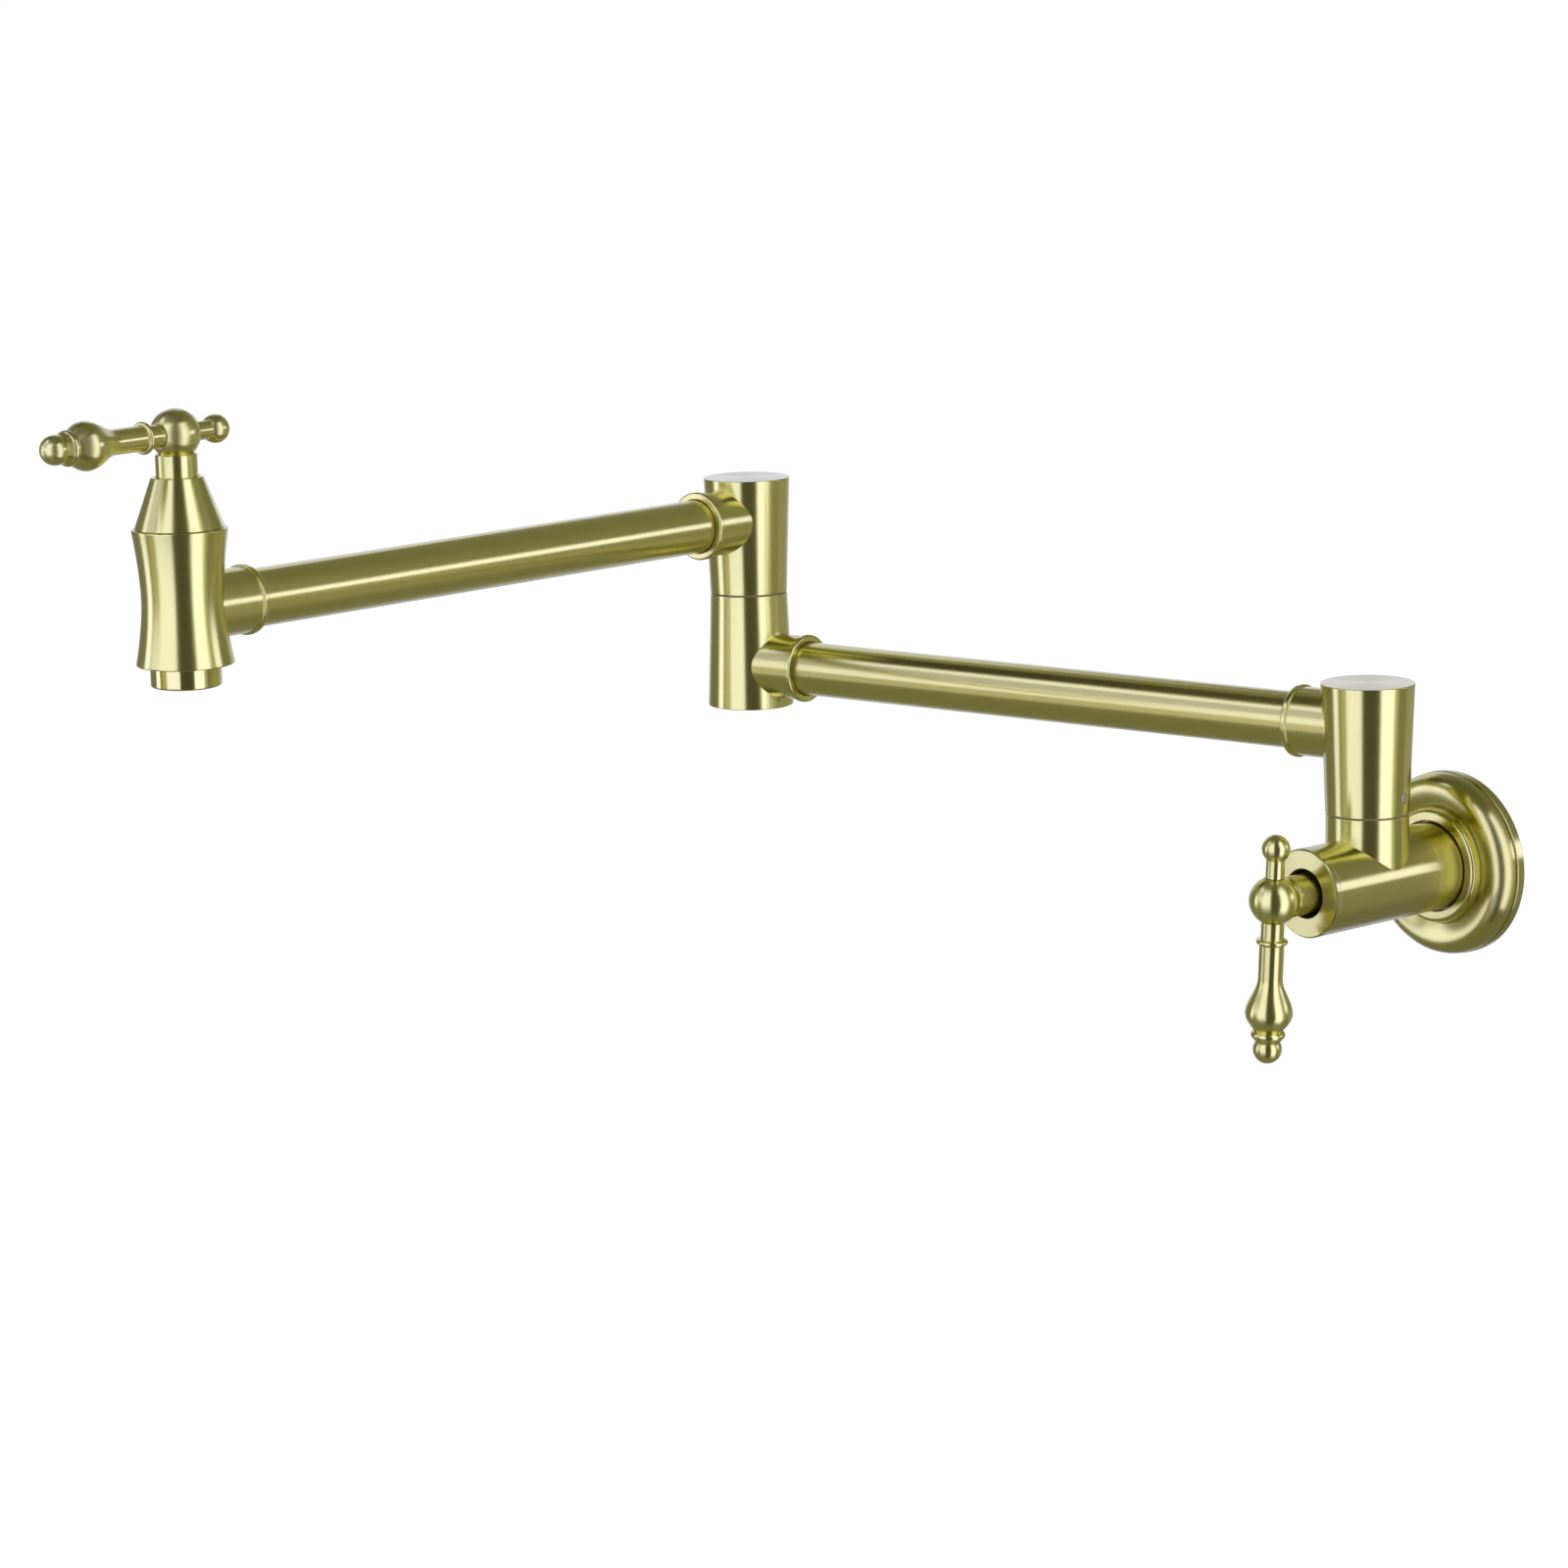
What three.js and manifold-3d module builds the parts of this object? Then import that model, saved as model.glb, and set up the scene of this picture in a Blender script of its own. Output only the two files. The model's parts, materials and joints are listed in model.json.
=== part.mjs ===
// Wall mounted pot filler: two swinging arms, a quarter-turn valve at the wall and one at the outlet.
// Millimetres, +Z up. The wall is the plane y = 0 and the supply pipe comes out of it along -Y.
import * as THREE from "three";
import { mergeVertices } from "three/addons/utils/BufferGeometryUtils.js";
import Module from "manifold-3d";

const wasm = await Module();
wasm.setup();

// ---------------------------------------------------------------- driving dimensions

// Clearances
const fit = 0.3; // between parts that are screwed, pushed or soldered together
const runningFit = 0.15; // round a part that turns
const faceGap = 0.1; // between stacked faces

// Facets round a turned part
const flangeSides = 32;
const bodySides = 28;
const trimSides = 20;
const coreSides = 16;
const screwSides = 12;
const discSteps = 8; // half the facets of a full circle in a flat outline

// Steps along a curved outline
const sealSteps = 5; // round the section of an O-ring
const flareSteps = 4;
const shoulderSteps = 5;
const hubSteps = 9;
const finialSteps = 8;
const beadSteps = 3;
const bulbSteps = 5;
const bulbEndSteps = 3;
const endBallSteps = 6;

// How far a cutting shape runs past the face it opens
const cutPast = 1;

// Pose at rest, seen from above
const arm1Angle = THREE.MathUtils.degToRad(192.6);
const arm2Angle = THREE.MathUtils.degToRad(277.5);
const wallHandleAngle = THREE.MathUtils.degToRad(-93.3); // the lever hangs a little to one side
const outletHandleAngle = THREE.MathUtils.degToRad(3.3); // from the line of arm 2

// Arms
const tubeRadius = 10;
const tubeWall = 1.5;
const arm1Reach = 270.5;
const arm2Reach = 276.9;
const socketDepth = 14.3;
const waterwayRadius = 6.3;

// Swivels
const spigotWall = 3.5;
const spigotThread = 9.5;
const glideWasherThick = 0.6;
const glideWasherInset = 0.5;
const screwRise = 6.3;
const screwRadius = 1.6;
const screwDriveShare = 0.55; // drive socket, as a share of the screw's radius
const screwPointShare = 0.7;
const screwSocketDepth = 1.4;
const screwInset = 0.15;
const screwGrooveDepth = 1.1;
const screwGrooveMargin = 0.3;
const sealWidth = 2;
const sealDepth = 1.4;
const screwLand = 0.85;
const sealLand = 2;
const spigotLand = 1.8;

// Elbows
const elbowWall = 4.5;
const elbowFlare = 1.7;
const elbowFlarePower = 1.1; // a little more flare near the free end
const elbowEdge = 0.4;
const elbowCap = 5.7;
const elbow1Web = 2.35;
const lowerElbowWeb = 7.9;
const upperElbowWeb = 0.5;
const bossWall = 1.95;
const bossReach = 25.6;
const beadRise = 0.7;
const beadWidth = 2.4;
const beadInset = 0.5;

// Quarter-turn cartridge, measured up from its seat
const seatSealThick = 2;
const seatSealWidth = 2.4;
const discRadius = 7.6;
const discThick = 2.4;
const discHub = 1.8;
const discRim = 1.6;
const portAngle = THREE.MathUtils.degToRad(80);
const cartridgeWall = 0.9;
const windowHeight = 4.2;
const windowWidth = 8;
const windowMargin = 0.4;
const chamberGap = 1.2;
const shoulderWidth = 0.9;
const cartridgeFlangeThick = 4;
const cartridgeNeckRadius = 6.2;
const cartridgeNeckHeight = 8;
const spindleRadius = 4.2;
const splineStep = 0.6;
const spindleFootWidth = 5;
const spindleFootHeight = 2.5;
const spindleFootInset = 0.8;
const spindleSealWidth = 2;
const spindleSealDepth = 1;
const spindleSealRise = 3.6;
const nutHeight = 6.4;
const nutSlotWidth = 3;
const nutSlotDepth = 1.6;

// Handles, measured from the centre of the hub ball
const hubRadius = 8.6;
const hubFoot = 6.4;
const stemRadius = 7.05;
const stemEdge = 0.4;
const hubBoreTop = 5;
const hubSocketFloor = 3.4;
const gripScrewDrop = 10.4;
const gripScrewRadius = 1.5;
const gripScrewSocketDepth = 1;
const leverStudRadius = 2.1;
const leverNeckRadius = 4;
const leverBeadRadius = 5.5;
const leverGripRadius = 4.3;
const leverBulbRadius = 8.25;
const leverRingRadius = 6;
const leverEndRadius = 5.1;
const leverEndStep = 0.7;
const leverBeadRound = 0.9;
const leverRingRound = 1.5;
const leverBeadArc = 60; // degrees of rounding either side of a crest
const leverRingArc = 50; // degrees on the ring's inner side
const leverBeadReach = 14.5;
const leverBulbReach = 40;
const leverRingReach = 47.6;
const leverEndReach = 52.9;
const finialStudRadius = 1.6;
const finialNeckRadius = 3.2;
const finialRadius = 4.9;
const finialNeckLand = 0.5;
const finialReach = 18.2;

// Wall valve, measured out from the wall
const adaptorBack = 0.5;
const adaptorLength = 24;
const adaptorSpigotRadius = 9.5;
const adaptorSpigotLength = 9;
const pipeSocketRadius = 9.6;
const pipeSocketDepth = 14;
const washerThick = 1.5;
const washerBore = 6.9;
const seatWeb = 3.1;
const riserOffset = 7.55;
const riserWeb = 3.75;
const riserWall = 4.5;
const barrelWall = 3.05;
const barrelChamfer = 0.5;
const bonnetThread = 1.3;
const bonnetLip = 2.2;
const bonnetThreadLength = 8;
const bonnetFaceWidth = 6.5;
const bonnetHoleEdge = 0.3;
const wallStemRoom = 15.4;
const wallHubRise = 14.9;
const stemEntry = 9.5;

// Wall flange
const flangeRadius = 32.6;
const rimThick = 3.6;
const rimEdge = 0.6;
const rimGrooveWidth = 0.7;
const rimGrooveDepth = 0.7;
const flankInset = 0.2;
const faceShoulderWidth = 3.6;
const faceShoulderDepth = 7;
const collarFootDip = 0.3;
const gasketRecess = 1.8;
const gasketInset = 1.6;
const gasketWidth = 6.6;
const collarHeight = 13;
const collarLip = 0.7;
const collarRecess = 3.1;
const collarGap = 2;
const collarWall = 2.6;
const collarLand = 3.9;
const gripRingRadius = 0.8;

// Outlet head, measured from its valve seat
const headInletRise = 8.4;
const headSeatWeb = 2.7;
const aeratorThreadDepth = 7.4;
const headTopRise = 36;
const headWaistRise = 12;
const headWaistWall = 3;
const headShoulderRadius = 16.3;
const headFootRadius = 16.6;
const headFlarePower = 1.7; // keeps the waist soft
const headEdge = 1.2;
const headBossWall = 1.25;
const coneHeight = 17.2;
const coneTopRadius = 8.85;
const coneInset = 1.2;
const coneWall = 3.6;
const coneThreadLength = 6;
const coneHollowHeight = 4.3;
const coneEdge = 0.3;
const outletHubRise = 14.2;
const outletStemEntry = 12.5;

// Aerator, measured down from the head
const aeratorRadius = 11.95;
const aeratorThreadStep = 0.95;
const aeratorLength = 7.05;
const aeratorWall = 1.6;
const aeratorLip = 1.2;
const aeratorEdge = 0.9;
const aeratorLipWidth = 1.2;
const aeratorWasherThick = 1.1;
const aeratorWasherBore = 7;
const insertHeight = 7;
const insertHoleRadius = 1.5;
const insertHoleCircle = 5.4;
const insertHoleCount = 6;

// ---------------------------------------------------------------- worked-out dimensions

const socketRadius = tubeRadius + fit / 2;
const spigotRadius = waterwayRadius + spigotWall;
const elbowBore = spigotRadius + runningFit * 2;
const elbowJointRadius = elbowBore + elbowWall;
const elbowFreeRadius = elbowJointRadius + elbowFlare;
const threadBore = spigotRadius + fit / 2;

const screwGrooveHalf = screwRadius + screwGrooveMargin;
const sealGrooveHalf = sealWidth / 2 + faceGap;
const firstSealRise = screwRise + screwGrooveHalf + screwLand + sealGrooveHalf;
const secondSealRise = firstSealRise + sealGrooveHalf * 2 + sealLand;
const spigotReach = secondSealRise + sealGrooveHalf + spigotLand;

const elbow1TubeRise = spigotReach + elbow1Web + socketRadius;
const upperElbowTubeRise = spigotReach + upperElbowWeb + socketRadius;
const lowerElbowTubeDrop = spigotThread + lowerElbowWeb + socketRadius;
const elbowTop = socketRadius + elbowCap;
const bossMouth = bossReach + beadWidth;
const tubeInset = bossMouth - socketDepth + fit;

// Cartridge levels above its seat
const sealTop = faceGap + seatSealThick;
const fixedDiscBase = sealTop + faceGap;
const movingDiscBase = fixedDiscBase + discThick + faceGap;
const spindleBase = movingDiscBase + discThick + faceGap;
const cartridgeBore = discRadius + fit;
const cartridgeRadius = cartridgeBore + cartridgeWall;
const cartridgeCeiling = spindleBase + windowHeight + fit;
const cartridgeNeckTop = cartridgeCeiling + cartridgeFlangeThick + cartridgeNeckHeight;
const chamberRadius = cartridgeRadius + chamberGap;
const valveBore = chamberRadius + shoulderWidth;
const cartridgeFlangeRadius = valveBore - fit;
const bonnetThreadRadius = valveBore + bonnetThread;
const spindleSealHeight = cartridgeCeiling + cartridgeFlangeThick + spindleSealRise;
const splineRadius = spindleRadius - splineStep;

// Flats on the hub ball where the lever and the finial seat
const leverSeat = Math.sqrt(hubRadius ** 2 - (leverNeckRadius + fit) ** 2);
const finialSeat = Math.sqrt(hubRadius ** 2 - (finialNeckRadius + fit) ** 2);

// Stations along the wall valve, out from the wall
const adaptorSpigotEnd = adaptorLength + adaptorSpigotLength;
const washerStation = adaptorSpigotEnd + faceGap;
const washerSeat = washerStation + washerThick + faceGap;
const wallSeat = washerSeat + seatWeb;
const riserStation = wallSeat + riserOffset;
const barrelFront = wallSeat + cartridgeNeckTop + wallStemRoom;
const wallHub = barrelFront + wallHubRise;
const barrelRadius = bonnetThreadRadius + fit + barrelWall;
const flangeLandTop = collarHeight - collarRecess;
const riserRadius = threadBore + riserWall;
const joint1Height = valveBore + riserWeb + spigotThread;

// Heights of the arms, the middle joint and the head
const arm1Height = joint1Height + elbow1TubeRise;
const joint2Height = arm1Height + lowerElbowTubeDrop;
const arm2Height = joint2Height + upperElbowTubeRise;
const headSeat = arm2Height - headInletRise;
const headFoot = headSeat - headSeatWeb - aeratorThreadDepth;
const headTop = headSeat + headTopRise;
const coneTop = headTop + coneHeight;
const outletHub = coneTop + outletHubRise;

// ---------------------------------------------------------------- materials

function finish(color, roughness, metalness) {
  return new THREE.MeshStandardMaterial({ color, roughness, metalness, flatShading: true });
}
const satinBrass = () => finish(0xc2b56f, 0.34, 1);
const polishedBrass = () => finish(0xd2c684, 0.16, 1);
const bareBrass = () => finish(0xb5964a, 0.45, 1);
const steel = () => finish(0xb9bcbf, 0.3, 1);
const rubber = () => finish(0x1d1d1e, 0.8, 0);
const fibre = () => finish(0x7a3f2b, 0.9, 0);
const nylon = () => finish(0x4a4538, 0.5, 0);
const ceramic = () => finish(0xf0efe8, 0.25, 0);
const plastic = () => finish(0xd9dad6, 0.55, 0);

// ---------------------------------------------------------------- shape helpers

// Shares each corner between its triangles, and drops triangles that have no area.
function closedMesh(geometry) {
  geometry.deleteAttribute("normal");
  geometry.deleteAttribute("uv");
  const merged = mergeVertices(geometry, 1e-4);
  const corners = merged.index.array;
  const kept = [];
  for (let i = 0; i < corners.length; i += 3) {
    const [a, b, c] = [corners[i], corners[i + 1], corners[i + 2]];
    if (a !== b && b !== c && c !== a) kept.push(a, b, c);
  }
  merged.setIndex(kept);
  return merged;
}

function toSolid(geometry) {
  const vertProperties = new Float32Array(geometry.attributes.position.array);
  const triVerts = new Uint32Array(geometry.index.array);
  return new wasm.Manifold(new wasm.Mesh({ numProp: 3, vertProperties, triVerts }));
}

function toGeometry(solid) {
  const { vertProperties, triVerts } = solid.getMesh();
  const geometry = new THREE.BufferGeometry();
  geometry.setAttribute("position", new THREE.BufferAttribute(new Float32Array(vertProperties), 3));
  geometry.setIndex(new THREE.BufferAttribute(new Uint32Array(triVerts), 1));
  return geometry;
}

function cut(base, ...tools) {
  return toGeometry(tools.reduce((solid, tool) => solid.subtract(toSolid(tool)), toSolid(base)));
}

function join(base, ...others) {
  return toGeometry(others.reduce((solid, other) => solid.add(toSolid(other)), toSolid(base)));
}

// A part turned about +Z from a closed outline of [radius, height], drawn anticlockwise.
function turned(outline, sides) {
  const points = outline.map(([radius, height]) => new THREE.Vector2(radius, height));
  points.push(points[0].clone());
  return closedMesh(new THREE.LatheGeometry(points, sides).rotateX(Math.PI / 2));
}

// Even steps from 0 to 1.
function shares(steps) {
  return Array.from({ length: steps + 1 }, (_, i) => i / steps);
}

function rod(radius, from, to, sides) {
  return turned([[0, from], [radius, from], [radius, to], [0, to]], sides);
}

function ring(bore, radius, from, to, sides) {
  return turned([[bore, from], [radius, from], [radius, to], [bore, to]], sides);
}

// Lays a part turned about +Z along +X.
function layAlongX(geometry) {
  return geometry.rotateY(Math.PI / 2);
}

// Points on an arc of a turned outline, with the angle measured from +radius towards +height.
function arc(centreRadius, centreHeight, radius, fromDegrees, toDegrees, steps) {
  return shares(steps).map((share) => {
    const angle = THREE.MathUtils.degToRad(THREE.MathUtils.lerp(fromDegrees, toDegrees, share));
    return [centreRadius + radius * Math.cos(angle), centreHeight + radius * Math.sin(angle)];
  });
}

// An O-ring of round section.
function sealRing(bore, radius, height, sides) {
  const half = (radius - bore) / 2;
  const section = arc((radius + bore) / 2, height, half, 0, 360, sealSteps);
  section.pop();
  return turned(section, sides);
}

function part(name, geometry, material) {
  const mesh = new THREE.Mesh(geometry, material);
  mesh.name = name;
  return mesh;
}

// ---------------------------------------------------------------- swivels

// Spigot screwed into the part below; the joint plane is height 0.
function swivelSpigot() {
  const sealFloor = spigotRadius - sealDepth;
  const grooveFloor = spigotRadius - screwGrooveDepth;
  const grooves = [
    [screwRise, screwGrooveHalf, grooveFloor],
    [firstSealRise, sealGrooveHalf, sealFloor],
    [secondSealRise, sealGrooveHalf, sealFloor],
  ];
  const outline = [[waterwayRadius, -spigotThread], [spigotRadius, -spigotThread]];
  for (const [centre, half, floor] of grooves) {
    outline.push([spigotRadius, centre - half], [floor, centre - half]);
    outline.push([floor, centre + half], [spigotRadius, centre + half]);
  }
  outline.push([spigotRadius, spigotReach], [waterwayRadius, spigotReach]);
  return turned(outline, coreSides);
}

function spigotSeal(rise) {
  return sealRing(spigotRadius - sealDepth + faceGap, spigotRadius + runningFit, rise, coreSides);
}

function glideWasher() {
  const half = glideWasherThick / 2;
  return ring(spigotRadius + fit, elbowJointRadius - glideWasherInset, -half, half, coreSides);
}

// Grub screw with a drive socket in its outer end, lying along -X.
function grubScrew(radius, tip, head, socketDepth) {
  const drive = radius * screwDriveShare;
  const point = radius * screwPointShare;
  const outline = [[0, tip], [point, tip], [radius, tip + radius - point], [radius, head]];
  outline.push([drive, head], [drive, head - socketDepth], [0, head - socketDepth]);
  return turned(outline, screwSides).rotateY(-Math.PI / 2);
}

function swivelParts(prefix) {
  return [
    part(`${prefix}_swivel_spigot`, swivelSpigot(), bareBrass()),
    part(`${prefix}_swivel_seal_low`, spigotSeal(firstSealRise), rubber()),
    part(`${prefix}_swivel_seal_high`, spigotSeal(secondSealRise), rubber()),
    part(`${prefix}_glide_washer`, glideWasher(), nylon()),
  ];
}

// ---------------------------------------------------------------- elbows

// Elbow body with its joint face near height 0 and its side boss towards +X.
function elbowShell(tubeRise) {
  const base = glideWasherThick / 2;
  const top = tubeRise + elbowTop;
  const flareTop = top - elbowEdge;
  const flare = shares(flareSteps).map((share) => {
    const radius = elbowJointRadius + elbowFlare * share ** elbowFlarePower;
    return [radius, THREE.MathUtils.lerp(base, flareTop, share)];
  });
  const body = turned([[0, base], ...flare, [elbowFreeRadius - elbowEdge, top], [0, top]], bodySides);
  return join(body, tubeBoss(socketRadius + bossWall).translate(0, 0, tubeRise));
}

// Side boss with a bead round its mouth.
function tubeBoss(radius) {
  const bead = radius + beadRise;
  const round = beadWidth / 4;
  const outline = [[0, 0], [radius, 0], [radius, bossReach], [bead, bossReach + round]];
  outline.push([bead, bossMouth - round], [bead - beadInset, bossMouth], [0, bossMouth]);
  return layAlongX(turned(outline, trimSides));
}

// Water space and socket of a tube that comes in along +X.
function tubeSocket() {
  const floor = bossMouth - socketDepth;
  const waterway = tubeRadius - tubeWall;
  const outline = [[0, 0], [waterway, 0], [waterway, floor], [socketRadius, floor]];
  outline.push([socketRadius, bossMouth + cutPast], [0, bossMouth + cutPast]);
  return layAlongX(turned(outline, trimSides));
}

// Elbow that turns on a spigot; its grub screw runs in the spigot's groove.
function turningElbow(tubeRise) {
  const chamber = tubeRadius - tubeWall;
  const boreTop = spigotReach + fit;
  const bore = [[0, -cutPast], [elbowBore, -cutPast], [elbowBore, boreTop], [chamber, boreTop]];
  bore.push([chamber, tubeRise + chamber], [0, tubeRise + chamber]);
  const holeEnd = elbowFreeRadius + cutPast;
  const screwHole = rod(screwRadius + runningFit, 0, holeEnd, screwSides).rotateY(-Math.PI / 2);
  return cut(
    elbowShell(tubeRise),
    turned(bore, trimSides),
    tubeSocket().translate(0, 0, tubeRise),
    screwHole.translate(0, 0, screwRise),
  );
}

function elbowScrew() {
  const tip = spigotRadius - screwGrooveDepth + fit;
  const screw = grubScrew(screwRadius, tip, elbowJointRadius - screwInset, screwSocketDepth);
  return screw.translate(0, 0, screwRise);
}

// Elbow that carries the upper spigot in a thread; drawn upside down, joint face near height 0.
function carryingElbow() {
  const chamber = tubeRadius - tubeWall;
  const threadFloor = spigotThread + fit;
  const tubeRise = lowerElbowTubeDrop;
  const bore = [[0, -cutPast], [threadBore, -cutPast], [threadBore, threadFloor]];
  bore.push([chamber, threadFloor]);
  bore.push([chamber, tubeRise + chamber], [0, tubeRise + chamber]);
  return cut(
    elbowShell(tubeRise),
    turned(bore, trimSides),
    tubeSocket().translate(0, 0, tubeRise),
  );
}

function armTube(reach) {
  return layAlongX(ring(tubeRadius - tubeWall, tubeRadius, tubeInset, reach - tubeInset, trimSides));
}

// ---------------------------------------------------------------- quarter-turn cartridge

function seatSeal() {
  return ring(discRadius - seatSealWidth, discRadius, faceGap, sealTop, coreSides);
}

// Ceramic disc with two fan-shaped ports.
function ceramicDisc(base) {
  const outline = new THREE.Shape();
  outline.absarc(0, 0, discRadius, 0, Math.PI * 2, false);
  for (const centre of [0, Math.PI]) {
    const port = new THREE.Path();
    port.absarc(0, 0, discRadius - discRim, centre - portAngle / 2, centre + portAngle / 2, false);
    port.absarc(0, 0, discHub, centre + portAngle / 2, centre - portAngle / 2, true);
    port.closePath();
    outline.holes.push(port);
  }
  const options = { depth: discThick, bevelEnabled: false, curveSegments: discSteps };
  return closedMesh(new THREE.ExtrudeGeometry(outline, options)).translate(0, 0, base);
}

function cartridgeHousing() {
  const bore = spindleRadius + fit;
  const flangeTop = cartridgeCeiling + cartridgeFlangeThick;
  const outline = [[cartridgeBore, seatSealThick / 2], [cartridgeRadius, seatSealThick / 2]];
  outline.push([cartridgeRadius, cartridgeCeiling], [cartridgeFlangeRadius, cartridgeCeiling]);
  outline.push([cartridgeFlangeRadius, flangeTop], [cartridgeNeckRadius, flangeTop]);
  outline.push([cartridgeNeckRadius, cartridgeNeckTop], [bore, cartridgeNeckTop]);
  outline.push([bore, cartridgeCeiling], [cartridgeBore, cartridgeCeiling]);
  const across = (cartridgeRadius + cutPast) * 2;
  const window = new THREE.BoxGeometry(windowWidth, across, windowHeight - windowMargin);
  window.translate(0, 0, spindleBase + windowHeight / 2);
  return cut(turned(outline, coreSides), closedMesh(window));
}

function retainingNut() {
  const base = cartridgeCeiling + cartridgeFlangeThick + faceGap;
  const top = base + nutHeight;
  const blank = ring(cartridgeNeckRadius + fit, cartridgeFlangeRadius, base, top, coreSides);
  const across = (cartridgeFlangeRadius + cutPast) * 2;
  const slot = new THREE.BoxGeometry(across, nutSlotWidth, nutSlotDepth * 2);
  return cut(blank, closedMesh(slot.translate(0, 0, top)));
}

// Spindle: a foot that drives the moving disc, a sealed shaft and a stepped end for the hub.
function spindle(top) {
  const floor = spindleRadius - spindleSealDepth;
  const half = spindleSealWidth / 2 + faceGap;
  const step = cartridgeNeckTop + faceGap;
  const outline = [[0, spindleBase], [spindleRadius, spindleBase]];
  outline.push([spindleRadius, spindleSealHeight - half], [floor, spindleSealHeight - half]);
  outline.push([floor, spindleSealHeight + half], [spindleRadius, spindleSealHeight + half]);
  outline.push([spindleRadius, step], [splineRadius, step], [splineRadius, top], [0, top]);
  const across = (discRadius - spindleFootInset) * 2;
  const foot = new THREE.BoxGeometry(across, spindleFootWidth, spindleFootHeight);
  foot.translate(0, 0, spindleBase + spindleFootHeight / 2);
  return join(turned(outline, coreSides), closedMesh(foot));
}

function spindleSeal() {
  const bore = spindleRadius - spindleSealDepth + faceGap;
  return sealRing(bore, spindleRadius + runningFit, spindleSealHeight, coreSides);
}

// ---------------------------------------------------------------- handle

// Hub ball on its stem sleeve; the lever leaves it along +X and the finial along -X.
function handleHub(stemLength) {
  const bore = splineRadius + fit;
  const footAngle = THREE.MathUtils.radToDeg(Math.asin(hubFoot / hubRadius));
  const outline = [[bore, -stemLength], [stemRadius - stemEdge, -stemLength]];
  outline.push([stemRadius, stemEdge - stemLength], [stemRadius, -hubFoot - stemEdge]);
  outline.push([stemRadius - stemEdge, -hubFoot], ...arc(0, 0, hubRadius, -footAngle, 90, hubSteps));
  outline.push([0, -hubBoreTop], [bore, -hubBoreTop]);
  const holeEnd = stemRadius + cutPast;
  const screwHole = rod(gripScrewRadius + runningFit, 0, holeEnd, screwSides).rotateX(Math.PI / 2);
  const seatEnd = hubRadius + cutPast;
  return cut(
    turned(outline, trimSides),
    layAlongX(rod(leverStudRadius + fit, hubSocketFloor, hubRadius, screwSides)),
    layAlongX(rod(leverNeckRadius + fit, leverSeat, seatEnd, coreSides)),
    layAlongX(rod(finialStudRadius + fit, -hubRadius, -hubSocketFloor, screwSides)),
    layAlongX(rod(finialNeckRadius + fit, -seatEnd, -finialSeat, coreSides)),
    screwHole.translate(0, 0, -gripScrewDrop),
  );
}

// Turned lever: stud, neck, bead, waisted grip, bulb, ring and end ball.
function lever() {
  const seat = leverSeat + faceGap;
  const gripStart = leverBeadReach + leverBeadRound;
  const gripEnd = (gripStart + leverBulbReach) / 2;
  const bulbFoot = leverRingReach - leverRingRound;
  const neckRadius = leverEndRadius - leverEndStep;
  const outline = [[0, hubSocketFloor + fit], [leverStudRadius, hubSocketFloor + fit]];
  outline.push([leverStudRadius, seat], [leverNeckRadius, seat]);
  outline.push([leverNeckRadius, leverBeadReach - leverBeadRound]);
  const beadCentre = leverBeadRadius - leverBeadRound;
  outline.push(...arc(beadCentre, leverBeadReach, leverBeadRound, -leverBeadArc, leverBeadArc, beadSteps));
  outline.push([leverGripRadius, gripStart]);
  for (const share of shares(bulbSteps)) {
    const swell = THREE.MathUtils.smoothstep(share, 0, 1) * (leverBulbRadius - leverGripRadius);
    outline.push([leverGripRadius + swell, THREE.MathUtils.lerp(gripEnd, leverBulbReach, share)]);
  }
  for (const share of shares(bulbEndSteps).slice(1)) {
    const shrink = (1 - Math.cos((share * Math.PI) / 2)) * (leverBulbRadius - neckRadius - leverEndStep);
    outline.push([leverBulbRadius - shrink, THREE.MathUtils.lerp(leverBulbReach, bulbFoot, share)]);
  }
  const ringCentre = leverRingRadius - leverRingRound;
  outline.push(...arc(ringCentre, leverRingReach, leverRingRound, -leverRingArc, leverBeadArc, beadSteps));
  const endAngle = THREE.MathUtils.radToDeg(Math.acos(neckRadius / leverEndRadius));
  outline.push(...arc(0, leverEndReach, leverEndRadius, -endAngle, 90, endBallSteps));
  return layAlongX(turned(outline, coreSides));
}

function finial() {
  const seat = finialSeat + faceGap;
  const neckEnd = finialReach - Math.sqrt(finialRadius ** 2 - finialNeckRadius ** 2);
  const neckAngle = -THREE.MathUtils.radToDeg(Math.acos(finialNeckRadius / finialRadius));
  const outline = [[0, hubSocketFloor + fit], [finialStudRadius, hubSocketFloor + fit]];
  outline.push([finialStudRadius, seat], [finialNeckRadius, seat]);
  outline.push([finialNeckRadius, neckEnd - finialNeckLand]);
  outline.push(...arc(0, finialReach, finialRadius, neckAngle, 90, finialSteps));
  return turned(outline, coreSides).rotateY(-Math.PI / 2);
}

// The grub screw points away from the photographed side, along -Y.
function gripScrew() {
  const tip = splineRadius + faceGap;
  const screw = grubScrew(gripScrewRadius, tip, stemRadius - screwInset, gripScrewSocketDepth);
  return screw.rotateZ(Math.PI / 2).translate(0, 0, -gripScrewDrop);
}

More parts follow.
